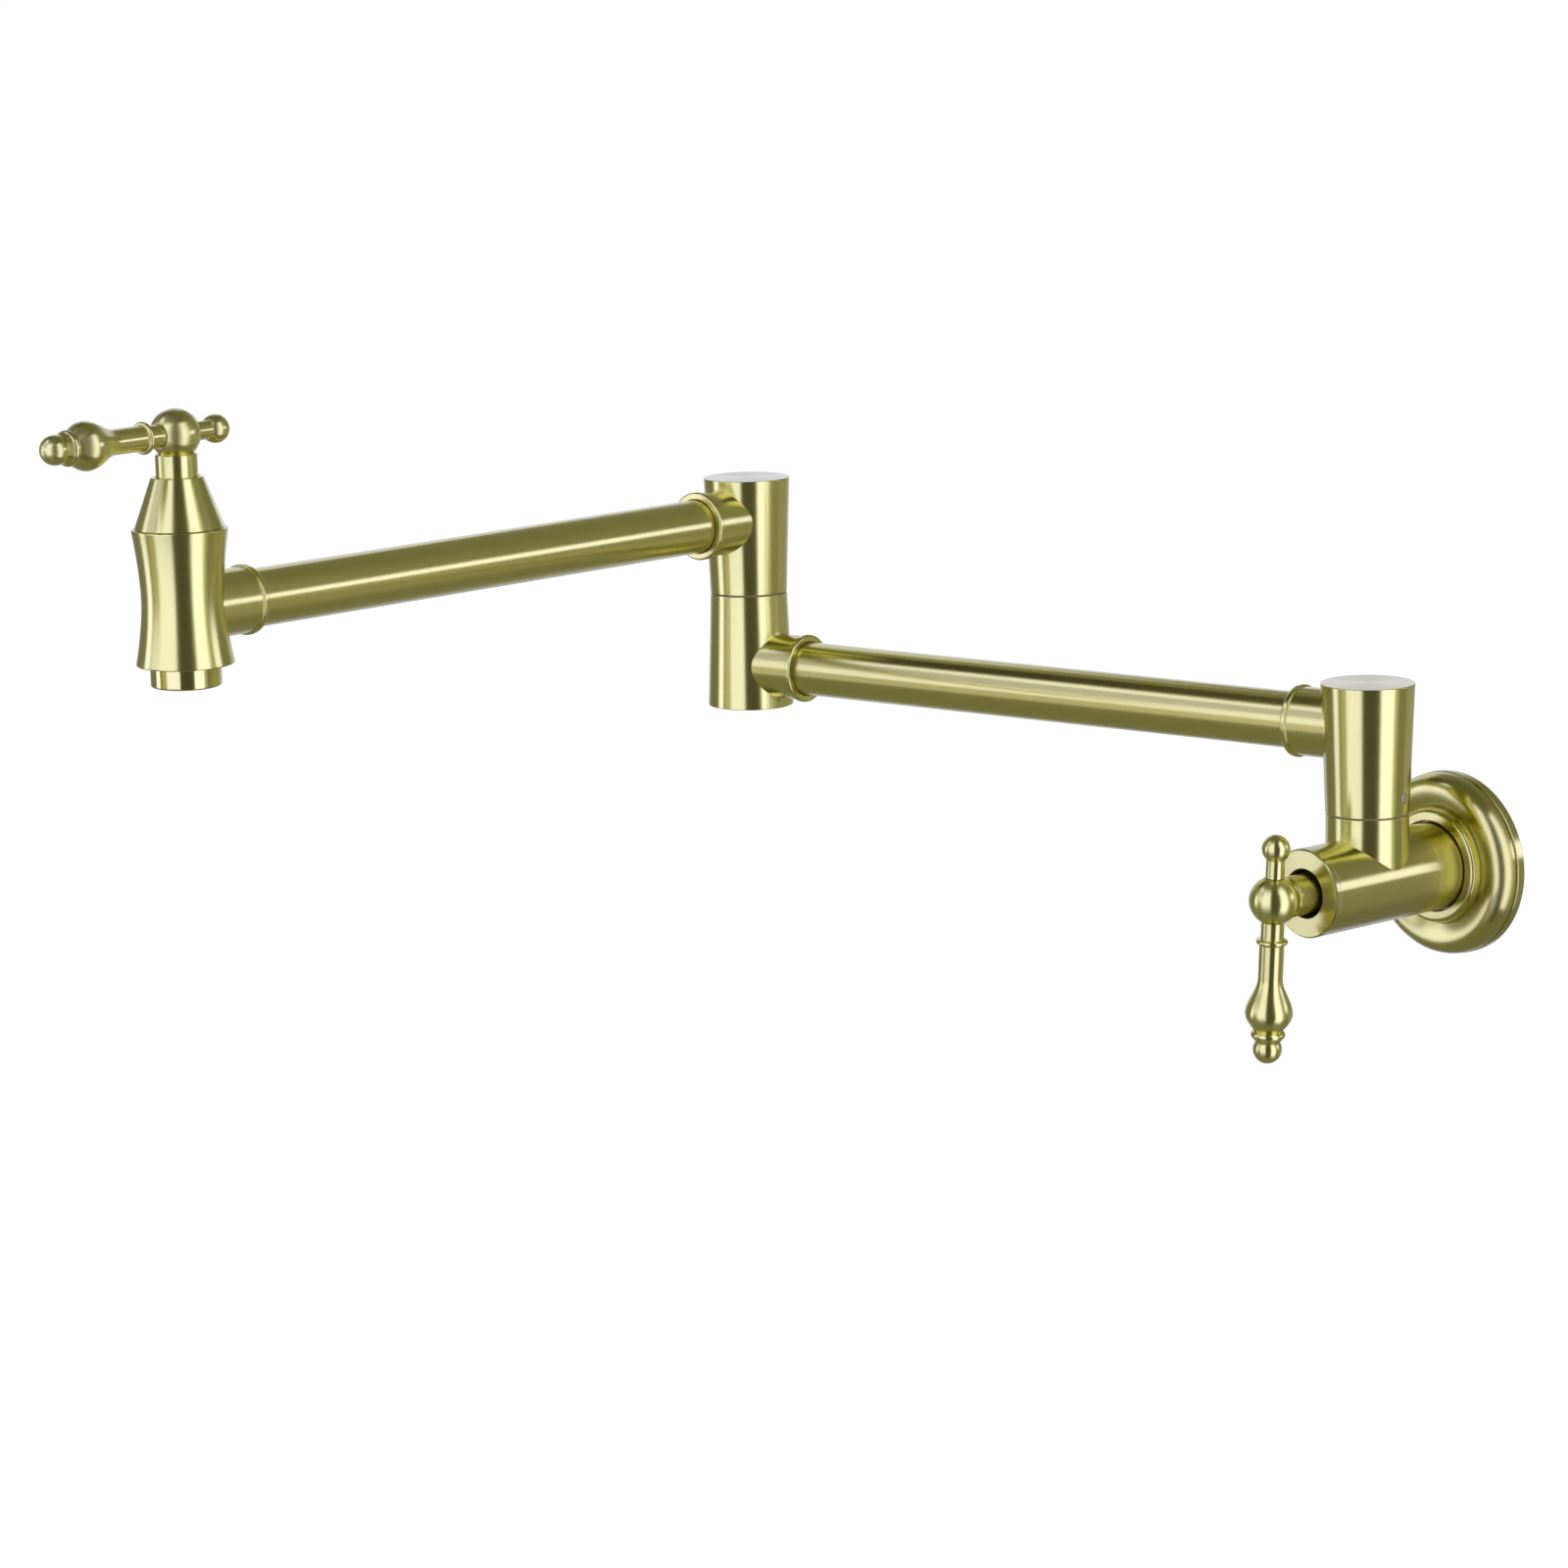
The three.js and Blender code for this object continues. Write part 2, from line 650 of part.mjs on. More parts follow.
// Everything that turns with one handle, in the frame of its cartridge seat.
function handleParts(prefix, hubHeight, stemLength) {
  const grip = new THREE.Group();
  grip.position.z = hubHeight;
  grip.add(
    part(`${prefix}_handle_hub`, handleHub(stemLength), satinBrass()),
    part(`${prefix}_lever`, lever(), satinBrass()),
    part(`${prefix}_finial`, finial(), satinBrass()),
    part(`${prefix}_handle_screw`, gripScrew(), steel()),
  );
  return [
    grip,
    part(`${prefix}_moving_disc`, ceramicDisc(movingDiscBase), ceramic()),
    part(`${prefix}_spindle`, spindle(hubHeight - hubBoreTop - fit), bareBrass()),
    part(`${prefix}_spindle_seal`, spindleSeal(), rubber()),
  ];
}

function cartridgeParts(prefix) {
  return [
    part(`${prefix}_seat_seal`, seatSeal(), rubber()),
    part(`${prefix}_fixed_disc`, ceramicDisc(fixedDiscBase), ceramic()),
    part(`${prefix}_cartridge`, cartridgeHousing(), bareBrass()),
    part(`${prefix}_retaining_nut`, retainingNut(), bareBrass()),
  ];
}

// ---------------------------------------------------------------- wall valve (turned about +Z, wall at 0)

// Escutcheon: grooved rim, rounded shoulder, flat face and a lipped collar round the barrel.
function wallFlange() {
  const bore = barrelRadius + fit;
  const collarBore = barrelRadius + collarGap;
  const collarRadius = collarBore + collarWall;
  const landBase = flangeLandTop - collarLand;
  const flank = flangeRadius - flankInset;
  const flankBase = rimThick + rimGrooveWidth;
  const shoulder = shares(shoulderSteps).map((share) => {
    const angle = (share * Math.PI) / 2;
    const radius = flank - faceShoulderWidth * (1 - Math.cos(angle));
    return [radius, flankBase + faceShoulderDepth * Math.sin(angle)];
  });
  const grooveFloor = flangeRadius - rimGrooveDepth;
  const faceFoot = flankBase + faceShoulderDepth - collarFootDip;
  const recessRadius = flangeRadius - gasketInset;
  const recessBore = recessRadius - gasketWidth - fit * 2;
  const outline = [[flangeRadius - rimEdge, 0], [flangeRadius, rimEdge]];
  outline.push([flangeRadius, rimThick - rimEdge], [flangeRadius - rimEdge, rimThick]);
  outline.push([grooveFloor, rimThick], [grooveFloor, flankBase], ...shoulder);
  outline.push([collarRadius, faceFoot], [collarRadius, collarHeight - collarLip]);
  outline.push([collarRadius - collarLip, collarHeight], [collarBore + collarLip, collarHeight]);
  outline.push([collarBore, collarHeight - collarLip], [collarBore, flangeLandTop]);
  outline.push([bore, flangeLandTop], [bore, landBase]);
  outline.push([recessBore - collarLip, landBase], [recessBore, gasketRecess]);
  outline.push([recessRadius, gasketRecess], [recessRadius, 0]);
  return turned(outline, flangeSides);
}

function flangeGasket() {
  const radius = flangeRadius - gasketInset - fit;
  return ring(radius - gasketWidth, radius, 0, gasketRecess - fit, flangeSides);
}

function flangeGripRing() {
  const bore = barrelRadius + fit;
  const height = flangeLandTop + faceGap + gripRingRadius;
  return sealRing(bore, bore + gripRingRadius * 2, height, bodySides);
}

// Adaptor: threaded socket for the supply nipple at the back, spigot into the valve body in front.
function inletAdaptor() {
  const socketFloor = adaptorBack + pipeSocketDepth;
  const outline = [[pipeSocketRadius, adaptorBack], [barrelRadius, adaptorBack]];
  outline.push([barrelRadius, adaptorLength], [adaptorSpigotRadius, adaptorLength]);
  outline.push([adaptorSpigotRadius, adaptorSpigotEnd], [waterwayRadius, adaptorSpigotEnd]);
  outline.push([waterwayRadius, socketFloor], [pipeSocketRadius, socketFloor]);
  return turned(outline, bodySides);
}

function pipeWasher() {
  const top = adaptorBack + pipeSocketDepth - faceGap;
  return ring(washerBore, pipeSocketRadius - fit, top - washerThick, top, coreSides);
}

function adaptorWasher() {
  return ring(washerBore, adaptorSpigotRadius, washerStation, washerStation + washerThick, coreSides);
}

// Barrel with its riser towards +Y, which is up once the barrel lies out from the wall.
function valveBody() {
  const front = barrelFront - bonnetLip;
  const counterbore = bonnetThreadRadius + fit;
  const counterboreFloor = front - bonnetThreadLength - fit;
  const socket = adaptorSpigotRadius + fit;
  const shoulder = wallSeat + cartridgeCeiling - faceGap;
  const barrel = rod(barrelRadius, adaptorLength + faceGap / 2, front, bodySides);
  const bore = [[0, adaptorLength - cutPast], [socket, adaptorLength - cutPast]];
  bore.push([socket, washerSeat]);
  bore.push([waterwayRadius, washerSeat], [waterwayRadius, wallSeat], [chamberRadius, wallSeat]);
  bore.push([chamberRadius, shoulder], [valveBore, shoulder], [valveBore, counterboreFloor]);
  bore.push([counterbore, counterboreFloor], [counterbore, front + cutPast], [0, front + cutPast]);
  const riser = rod(riserRadius, 0, joint1Height - glideWasherThick / 2, bodySides);
  const threadFloor = joint1Height - spigotThread - fit;
  const well = [[0, 0], [waterwayRadius, 0], [waterwayRadius, threadFloor], [threadBore, threadFloor]];
  well.push([threadBore, joint1Height + cutPast], [0, joint1Height + cutPast]);
  const lift = (geometry) => geometry.rotateX(-Math.PI / 2).translate(0, 0, riserStation);
  return cut(join(barrel, lift(riser)), turned(bore, bodySides), lift(turned(well, trimSides)));
}

// Ring face at the barrel's front, screwed in over the cartridge.
function wallBonnet() {
  const base = barrelFront - bonnetLip;
  const hole = barrelRadius - barrelChamfer - bonnetFaceWidth;
  const lip = base + faceGap / 2;
  const outline = [[hole, base - bonnetThreadLength], [bonnetThreadRadius, base - bonnetThreadLength]];
  outline.push([bonnetThreadRadius, lip], [barrelRadius, lip], [barrelRadius, barrelFront - barrelChamfer]);
  outline.push([barrelRadius - barrelChamfer, barrelFront], [hole + bonnetHoleEdge, barrelFront]);
  outline.push([hole, barrelFront - bonnetHoleEdge]);
  return turned(outline, bodySides);
}

// ---------------------------------------------------------------- outlet head (turned about +Z)

// Waisted body: valve chamber inside, tube boss towards -X, aerator thread below, cone thread on top.
function outletHead() {
  const waist = valveBore + headWaistWall;
  const waistHeight = headSeat + headWaistRise;
  const edge = headTop - headEdge;
  const lip = headFoot + headEdge;
  const flared = (radius, end, share) => {
    const height = THREE.MathUtils.lerp(waistHeight, end, share);
    return [waist + (radius - waist) * share ** headFlarePower, height];
  };
  const curve = [
    ...shares(flareSteps).reverse().map((share) => flared(headFootRadius, lip, share)),
    ...shares(flareSteps).slice(1).map((share) => flared(headShoulderRadius, edge, share)),
  ];
  const outline = [[0, headFoot], [headFootRadius - headEdge, headFoot], ...curve];
  outline.push([headShoulderRadius - headEdge, headTop], [0, headTop]);
  const boss = tubeBoss(socketRadius + headBossWall);
  const placeInlet = (geometry) => geometry.rotateZ(Math.PI).translate(0, 0, arm2Height);
  const counterbore = bonnetThreadRadius + fit;
  const counterboreFloor = headTop - coneThreadLength - fit;
  const shoulder = headSeat + cartridgeCeiling - faceGap;
  const aeratorBore = aeratorRadius - aeratorThreadStep + fit;
  const aeratorFloor = headFoot + aeratorThreadDepth;
  const bore = [[0, headFoot - cutPast], [aeratorBore, headFoot - cutPast]];
  bore.push([aeratorBore, aeratorFloor]);
  bore.push([waterwayRadius, aeratorFloor], [waterwayRadius, headSeat], [chamberRadius, headSeat]);
  bore.push([chamberRadius, shoulder], [valveBore, shoulder], [valveBore, counterboreFloor]);
  bore.push([counterbore, counterboreFloor], [counterbore, headTop + cutPast]);
  bore.push([0, headTop + cutPast]);
  const shell = join(turned(outline, bodySides), placeInlet(boss));
  return cut(shell, turned(bore, bodySides), placeInlet(tubeSocket()));
}

// Cone screwed into the head over the cartridge; the handle's stem passes through it.
function outletBonnet() {
  const hole = stemRadius + fit;
  const base = headTop + faceGap / 2;
  const shoulderRadius = headShoulderRadius - coneInset;
  const hollow = bonnetThreadRadius - coneWall;
  const hollowTop = headTop + coneHollowHeight;
  const outline = [[hollow, headTop - coneThreadLength], [bonnetThreadRadius, headTop - coneThreadLength]];
  outline.push([bonnetThreadRadius, base], [shoulderRadius, base], [coneTopRadius, coneTop - coneEdge]);
  outline.push([coneTopRadius - coneEdge, coneTop], [hole, coneTop]);
  outline.push([hole, hollowTop], [hollow, hollowTop]);
  return turned(outline, bodySides);
}

function aeratorHousing() {
  const top = headFoot - fit;
  const threadTop = headFoot + aeratorThreadDepth - aeratorWasherThick - faceGap * 2;
  const bottom = top - aeratorLength;
  const thread = aeratorRadius - aeratorThreadStep;
  const bore = thread - aeratorWall;
  const lipBore = bore - aeratorLipWidth;
  const lipTop = bottom + aeratorLip;
  const outline = [[lipBore, bottom], [aeratorRadius - aeratorEdge, bottom]];
  outline.push([aeratorRadius, bottom + aeratorEdge], [aeratorRadius, top], [thread, top]);
  outline.push([thread, threadTop], [bore, threadTop], [bore, lipTop], [lipBore, lipTop]);
  return turned(outline, trimSides);
}

// Flow straightener with a ring of holes, held by the housing's lip.
function aeratorInsert() {
  const radius = aeratorRadius - aeratorThreadStep - aeratorWall - fit;
  const outline = new THREE.Shape();
  outline.absarc(0, 0, radius, 0, Math.PI * 2, false);
  for (let i = 0; i < insertHoleCount; i += 1) {
    const angle = (i * 2 * Math.PI) / insertHoleCount;
    const hole = new THREE.Path();
    const [x, y] = [insertHoleCircle * Math.cos(angle), insertHoleCircle * Math.sin(angle)];
    hole.absarc(x, y, insertHoleRadius, 0, Math.PI * 2, true);
    outline.holes.push(hole);
  }
  const options = { depth: insertHeight, bevelEnabled: false, curveSegments: discSteps };
  const base = headFoot - fit - aeratorLength + aeratorLip + faceGap;
  return closedMesh(new THREE.ExtrudeGeometry(outline, options)).translate(0, 0, base);
}

function aeratorWasher() {
  const top = headFoot + aeratorThreadDepth - faceGap;
  const radius = aeratorRadius - aeratorThreadStep;
  return ring(aeratorWasherBore, radius, top - aeratorWasherThick, top, coreSides);
}

// ---------------------------------------------------------------- assembly

// Wall valve: local +Z runs out from the wall, local +Y is up.
const wallValve = new THREE.Group();
wallValve.rotation.x = Math.PI / 2;
wallValve.add(
  part("wall_flange", wallFlange(), satinBrass()),
  part("flange_gasket", flangeGasket(), rubber()),
  part("flange_grip_ring", flangeGripRing(), rubber()),
  part("inlet_adaptor", inletAdaptor(), satinBrass()),
  part("pipe_washer", pipeWasher(), fibre()),
  part("adaptor_washer", adaptorWasher(), fibre()),
  part("valve_body", valveBody(), satinBrass()),
  part("wall_bonnet", wallBonnet(), satinBrass()),
);

// The wall handle hangs at rest.
const wallCartridge = new THREE.Group();
wallCartridge.position.z = wallSeat;
wallCartridge.rotation.z = wallHandleAngle;
wallCartridge.add(...cartridgeParts("wall"));
wallCartridge.add(...handleParts("wall", wallHub - wallSeat, wallHubRise + stemEntry));
wallValve.add(wallCartridge);

const firstSwivel = new THREE.Group();
firstSwivel.position.set(0, -riserStation, joint1Height);
firstSwivel.add(...swivelParts("wall"));

// Arm 1 turns about the wall swivel; its tube runs along local +X.
const arm1 = new THREE.Group();
arm1.position.set(0, -riserStation, 0);
arm1.rotation.z = arm1Angle;
const elbow1 = new THREE.Group();
elbow1.position.z = joint1Height;
elbow1.add(
  part("wall_elbow", turningElbow(elbow1TubeRise), satinBrass()),
  part("wall_elbow_screw", elbowScrew(), steel()),
);
const arm1Tube = part("arm_1_tube", armTube(arm1Reach), satinBrass());
arm1Tube.position.z = arm1Height;
const lowerElbow = part("middle_lower_elbow", carryingElbow(), satinBrass());
lowerElbow.position.set(arm1Reach, 0, joint2Height);
lowerElbow.rotation.y = Math.PI;
const secondSwivel = new THREE.Group();
secondSwivel.position.set(arm1Reach, 0, joint2Height);
secondSwivel.add(...swivelParts("middle"));
arm1.add(elbow1, arm1Tube, lowerElbow, secondSwivel);

// Arm 2 turns about the middle swivel and carries the outlet head.
const arm2 = new THREE.Group();
arm2.position.set(arm1Reach * Math.cos(arm1Angle), arm1Reach * Math.sin(arm1Angle) - riserStation, 0);
arm2.rotation.z = arm2Angle;
const upperElbow = new THREE.Group();
upperElbow.position.z = joint2Height;
upperElbow.add(
  part("middle_upper_elbow", turningElbow(upperElbowTubeRise), satinBrass()),
  part("middle_elbow_screw", elbowScrew(), steel()),
);
const arm2Tube = part("arm_2_tube", armTube(arm2Reach), satinBrass());
arm2Tube.position.z = arm2Height;
const head = new THREE.Group();
head.position.x = arm2Reach;
head.add(
  part("outlet_head", outletHead(), satinBrass()),
  part("outlet_bonnet", outletBonnet(), satinBrass()),
  part("aerator_housing", aeratorHousing(), polishedBrass()),
  part("aerator_insert", aeratorInsert(), plastic()),
  part("aerator_washer", aeratorWasher(), rubber()),
);
const outletCartridge = new THREE.Group();
outletCartridge.position.z = headSeat;
outletCartridge.rotation.z = outletHandleAngle;
outletCartridge.add(...cartridgeParts("outlet"));
outletCartridge.add(...handleParts("outlet", outletHub - headSeat, outletHubRise + outletStemEntry));
head.add(outletCartridge);
arm2.add(upperElbow, arm2Tube, head);

const potFiller = new THREE.Group();
potFiller.name = "wall_mounted_pot_filler";
potFiller.add(wallValve, firstSwivel, arm1, arm2);

export default potFiller;
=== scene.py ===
import json
import math

import bmesh
import bpy
from mathutils import Matrix, Vector

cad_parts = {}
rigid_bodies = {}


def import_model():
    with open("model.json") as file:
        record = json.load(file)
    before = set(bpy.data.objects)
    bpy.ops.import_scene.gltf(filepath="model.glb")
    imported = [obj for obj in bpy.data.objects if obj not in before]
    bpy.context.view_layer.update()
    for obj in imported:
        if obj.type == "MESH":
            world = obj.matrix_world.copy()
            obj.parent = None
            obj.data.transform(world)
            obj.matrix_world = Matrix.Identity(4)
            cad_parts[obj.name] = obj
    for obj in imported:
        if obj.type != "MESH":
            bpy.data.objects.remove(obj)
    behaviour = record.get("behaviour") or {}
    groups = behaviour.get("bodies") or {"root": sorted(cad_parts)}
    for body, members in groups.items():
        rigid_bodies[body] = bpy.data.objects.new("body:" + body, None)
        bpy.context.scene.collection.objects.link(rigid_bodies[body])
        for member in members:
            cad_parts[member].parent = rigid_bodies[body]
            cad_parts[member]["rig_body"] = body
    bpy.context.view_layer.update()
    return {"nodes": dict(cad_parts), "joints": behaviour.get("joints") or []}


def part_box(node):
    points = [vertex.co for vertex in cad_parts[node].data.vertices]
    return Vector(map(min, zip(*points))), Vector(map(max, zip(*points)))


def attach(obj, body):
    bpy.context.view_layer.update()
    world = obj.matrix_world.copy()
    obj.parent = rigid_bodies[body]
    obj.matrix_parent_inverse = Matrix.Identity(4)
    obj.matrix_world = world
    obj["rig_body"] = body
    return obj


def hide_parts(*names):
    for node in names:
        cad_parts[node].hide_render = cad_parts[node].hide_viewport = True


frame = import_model()

# ---------------------------------------------------------------------------- wall flange
# The flange hides the hole in the wall. It is spun from brass sheet, turned on its face and collar,
# satin brushed on the lathe and lacquered, and slides along the barrel until it meets the wall.

MM = 0.001

# Local Z runs along -Y, out of the wall, and local Y points up, as the valve is turned on the lathe.
out_of_wall = Matrix.Rotation(math.radians(90), 4, "X")

# A piece has up to three finishes: its own, that of what is joined to it, and that of its bores.
FINISHES = 3
OWN, JOINED, BORED = range(FINISHES)


def softened(outline):
    """Rounds an outline's corners; a corner's third number is the radius of its rounding."""
    finest_turn = math.radians(12)
    most_of_a_side = 0.49
    points = []
    for before, corner, after in zip(outline[-1:] + outline[:-1], outline, outline[1:] + outline[:1]):
        here = Vector(corner[:2])
        if len(corner) == 2:
            points.append(here)
            continue
        back = Vector(before[:2]) - here
        onward = Vector(after[:2]) - here
        half = back.angle(onward) / 2
        reach = min(corner[2] / math.tan(half), most_of_a_side * back.length, most_of_a_side * onward.length)
        start = here + back.normalized() * reach
        inward = (back.normalized() + onward.normalized()).normalized()
        centre = here + inward * (reach / math.cos(half))
        sweep = math.copysign(math.pi - 2 * half, onward.cross(back))
        steps = max(2, math.ceil(abs(sweep) / finest_turn))
        for i in range(steps + 1):
            points.append(centre + Matrix.Rotation(sweep * i / steps, 2) @ (start - centre))
    return points


def turned(name, outline, sides=144, finish=OWN):
    """Turns a closed outline of (radius, height) in millimetres about local Z."""
    on_axis = 1e-6
    model = bmesh.new()
    rings = []
    for radius, height in softened(outline):
        if radius < on_axis:
            rings.append([model.verts.new((0, 0, height * MM))] * sides)
            continue
        angles = [math.tau * i / sides for i in range(sides)]
        ring = [(radius * MM * math.cos(a), radius * MM * math.sin(a), height * MM) for a in angles]
        rings.append([model.verts.new(point) for point in ring])
    for lower, upper in zip(rings, rings[1:] + rings[:1]):
        for i in range(sides):
            j = (i + 1) % sides
            corners = list(dict.fromkeys([lower[i], lower[j], upper[j], upper[i]]))
            if len(corners) > 2:
                model.faces.new(corners).material_index = finish
    mesh = bpy.data.meshes.new(name)
    for _ in range(FINISHES):
        mesh.materials.append(None)
    model.to_mesh(mesh)
    model.free()
    piece = bpy.data.objects.new(name, mesh)
    bpy.context.scene.collection.objects.link(piece)
    return piece


def smoothed(piece):
    """Smooth shading that keeps the flats flat and the creases crisp."""
    crease = math.radians(20)
    piece.data.shade_smooth()
    piece.data.set_sharp_from_angle(angle=crease)
    flats = piece.modifiers.new("flats", "WEIGHTED_NORMAL")
    flats.keep_sharp = True
    flats.weight = 100


def fitted(piece, node, place, materials):
    """Puts a fine piece where its node lies, on the body that carries it. The turn goes into the mesh,
    so the piece's own axes stay those of the room; the last material also does for the finishes left."""
    piece.data.transform(place.to_3x3().to_4x4())
    smoothed(piece)
    for i in range(FINISHES):
        piece.data.materials[i] = materials[min(i, len(materials) - 1)]
    piece.matrix_world = Matrix.Translation(place.translation)
    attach(piece, frame["nodes"][node]["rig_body"])
    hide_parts(node)


def maths(nodes, operation, first, second=0.0):
    """One sum on two numbers or outputs."""
    node = nodes.nodes.new("ShaderNodeMath")
    node.operation = operation
    for socket, value in zip(node.inputs, (first, second)):
        if isinstance(value, bpy.types.NodeSocket):
            nodes.links.new(value, socket)
        else:
            socket.default_value = value
    return node.outputs[0]


def lathe_lines(nodes, axis):
    """Radius, place along and way round an axis through the origin, and the direction across the lines."""
    place = nodes.nodes.new("ShaderNodeTexCoord").outputs["Object"]

    def along(direction):
        product = nodes.nodes.new("ShaderNodeVectorMath")
        product.operation = "DOT_PRODUCT"
        product.inputs[1].default_value = direction
        nodes.links.new(place, product.inputs[0])
        return product.outputs["Value"]

    def crossed(first, second):
        product = nodes.nodes.new("ShaderNodeVectorMath")
        product.operation = "CROSS_PRODUCT"
        for socket, value in zip(product.inputs, (first, second)):
            nodes.links.new(value, socket)
        return product.outputs[0]

    sideways = axis.orthogonal().normalized()
    first, second = along(sideways), along(axis.cross(sideways))
    squares = [maths(nodes, "POWER", value, 2.0) for value in (first, second)]
    radius = maths(nodes, "SQRT", maths(nodes, "ADD", *squares))
    world_axis = nodes.nodes.new("ShaderNodeVectorTransform")
    world_axis.vector_type = "VECTOR"
    world_axis.convert_from = "OBJECT"
    world_axis.convert_to = "WORLD"
    pole = nodes.nodes.new("ShaderNodeCombineXYZ")
    for socket, value in zip(pole.inputs, axis):
        socket.default_value = value
    round_axis = crossed(pole.outputs[0], place)
    nodes.links.new(round_axis, world_axis.inputs[0])
    normal = nodes.nodes.new("ShaderNodeNewGeometry").outputs["Normal"]
    across_grain = crossed(normal, world_axis.outputs[0])
    way_round = [maths(nodes, "DIVIDE", value, radius) for value in (first, second)]
    return radius, along(axis), way_round, across_grain


def clouds(nodes, per_metre, detail):
    """Soft patches all through a piece, so many to a metre."""
    noise = nodes.nodes.new("ShaderNodeTexNoise")
    noise.inputs["Scale"].default_value = per_metre
    noise.inputs["Detail"].default_value = detail
    nodes.links.new(nodes.nodes.new("ShaderNodeTexCoord").outputs["Object"], noise.inputs["Vector"])
    return noise.outputs["Fac"]


def uneven(nodes, pattern, roughness, relief, depth, patches, color, tones, ends=(0.0, 1.0)):
    """Varies roughness and height with a pattern between its two ends, and the colour with patches."""
    shader = nodes.nodes["Principled BSDF"]
    rough = nodes.nodes.new("ShaderNodeMapRange")
    for socket, value in zip(("From Min", "From Max", "To Min", "To Max"), (*ends, *roughness)):
        rough.inputs[socket].default_value = value
    nodes.links.new(pattern, rough.inputs["Value"])
    nodes.links.new(rough.outputs[0], shader.inputs["Roughness"])
    bump = nodes.nodes.new("ShaderNodeBump")
    bump.inputs["Strength"].default_value = relief
    bump.inputs["Distance"].default_value = depth
    nodes.links.new(pattern, bump.inputs["Height"])
    nodes.links.new(bump.outputs[0], shader.inputs["Normal"])
    tone = nodes.nodes.new("ShaderNodeMix")
    tone.data_type = "RGBA"
    for socket, lightness in zip("AB", tones):
        tone.inputs[socket].default_value = (*[min(1.0, c * lightness) for c in color], 1.0)
    nodes.links.new(patches, tone.inputs["Factor"])
    nodes.links.new(tone.outputs["Result"], shader.inputs["Base Color"])


def brushed_brass(name, axis, color, roughness=0.22, grain=1.0, anisotropy=0.65, coat=0.35):
    """Brass brushed on the lathe: fine lines run round the axis and draw the highlights out across them."""
    coat_roughness = 0.18
    line_pitch = 0.22 * MM
    line_breaks = 1.5
    line_ends = (0.3, 0.7)
    line_relief = 0.03 * grain
    line_depth = 0.02 * MM
    spread = 0.02 * grain
    patches_per_metre = 60.0
    tones = (0.95, 1.05)

    material = bpy.data.materials.new(name)
    material.use_nodes = True
    nodes = material.node_tree
    shader = nodes.nodes["Principled BSDF"]
    shader.inputs["Metallic"].default_value = 1.0
    shader.inputs["Anisotropic"].default_value = anisotropy
    shader.inputs["Coat Weight"].default_value = coat
    shader.inputs["Coat Roughness"].default_value = coat_roughness
    radius, along, way_round, across_grain = lathe_lines(nodes, Vector(axis).normalized())
    nodes.links.new(across_grain, shader.inputs["Tangent"])

    lines = nodes.nodes.new("ShaderNodeCombineXYZ")
    nodes.links.new(maths(nodes, "DIVIDE", radius, line_pitch), lines.inputs[0])
    nodes.links.new(maths(nodes, "DIVIDE", along, line_pitch), lines.inputs[1])
    nodes.links.new(maths(nodes, "MULTIPLY", way_round[0], line_breaks), lines.inputs[2])
    brushing = nodes.nodes.new("ShaderNodeTexNoise")
    brushing.noise_dimensions = "4D"
    brushing.inputs["Scale"].default_value = 1.0
    brushing.inputs["Detail"].default_value = 3.0
    nodes.links.new(lines.outputs[0], brushing.inputs["Vector"])
    nodes.links.new(maths(nodes, "MULTIPLY", way_round[1], line_breaks), brushing.inputs["W"])

    strength = brushing.outputs["Fac"]
    patches = maths(nodes, "MULTIPLY", strength, clouds(nodes, patches_per_metre, detail=2.0))
    uneven(nodes, strength, roughness=(roughness - spread, roughness + spread), relief=line_relief,
           depth=line_depth, patches=patches, color=color, tones=tones, ends=line_ends)
    return material


OUT = (0, -1, 0)
# Painted shade: the same brass as BRASS below, made a tenth darker so that the barrel, flange, adaptor,
# bonnet and wall hub stem reflect dimmer.
shaded_barrel_brass = (0.67, 0.62, 0.135)
round_out = brushed_brass("shaded_satin_brass_round_out", OUT, shaded_barrel_brass, anisotropy=0.85)

flange_low, flange_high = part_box("wall_flange")
flange_radius = flange_high.x / MM
collar_height = -flange_low.y / MM
barrel_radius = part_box("inlet_adaptor")[1].x / MM
filed_edge = 0.2
foot_round = 0.5
rim_round = 0.7
rim_thick = 3.6
groove_width = 0.7
groove_depth = 0.9
flank_inset = 0.2
flank_radius = flange_radius - flank_inset
flank_base = rim_thick + groove_width
shoulder_width = 5.4
shoulder_depth = 7.0
shoulder_fullness = 2.2
shoulder_steps = 24
dish_depth = 1.7
dish_steps = 12
dish_foot_round = 0.8
collar_bore = 17.55
collar_radius = 20.15
collar_round = 1.5
lip_gap = 0.4
grip_gap = 0.1
lip_bore = barrel_radius + lip_gap
lip_back = -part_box("flange_grip_ring")[0].y / MM + grip_gap
lip_round = 0.8
land_bore = 15.85
land_top = 9.9
land_base = 6.0
gasket_recess = 1.8
recess_radius = 31.0
recess_bore = 23.8
recess_slope = 0.7

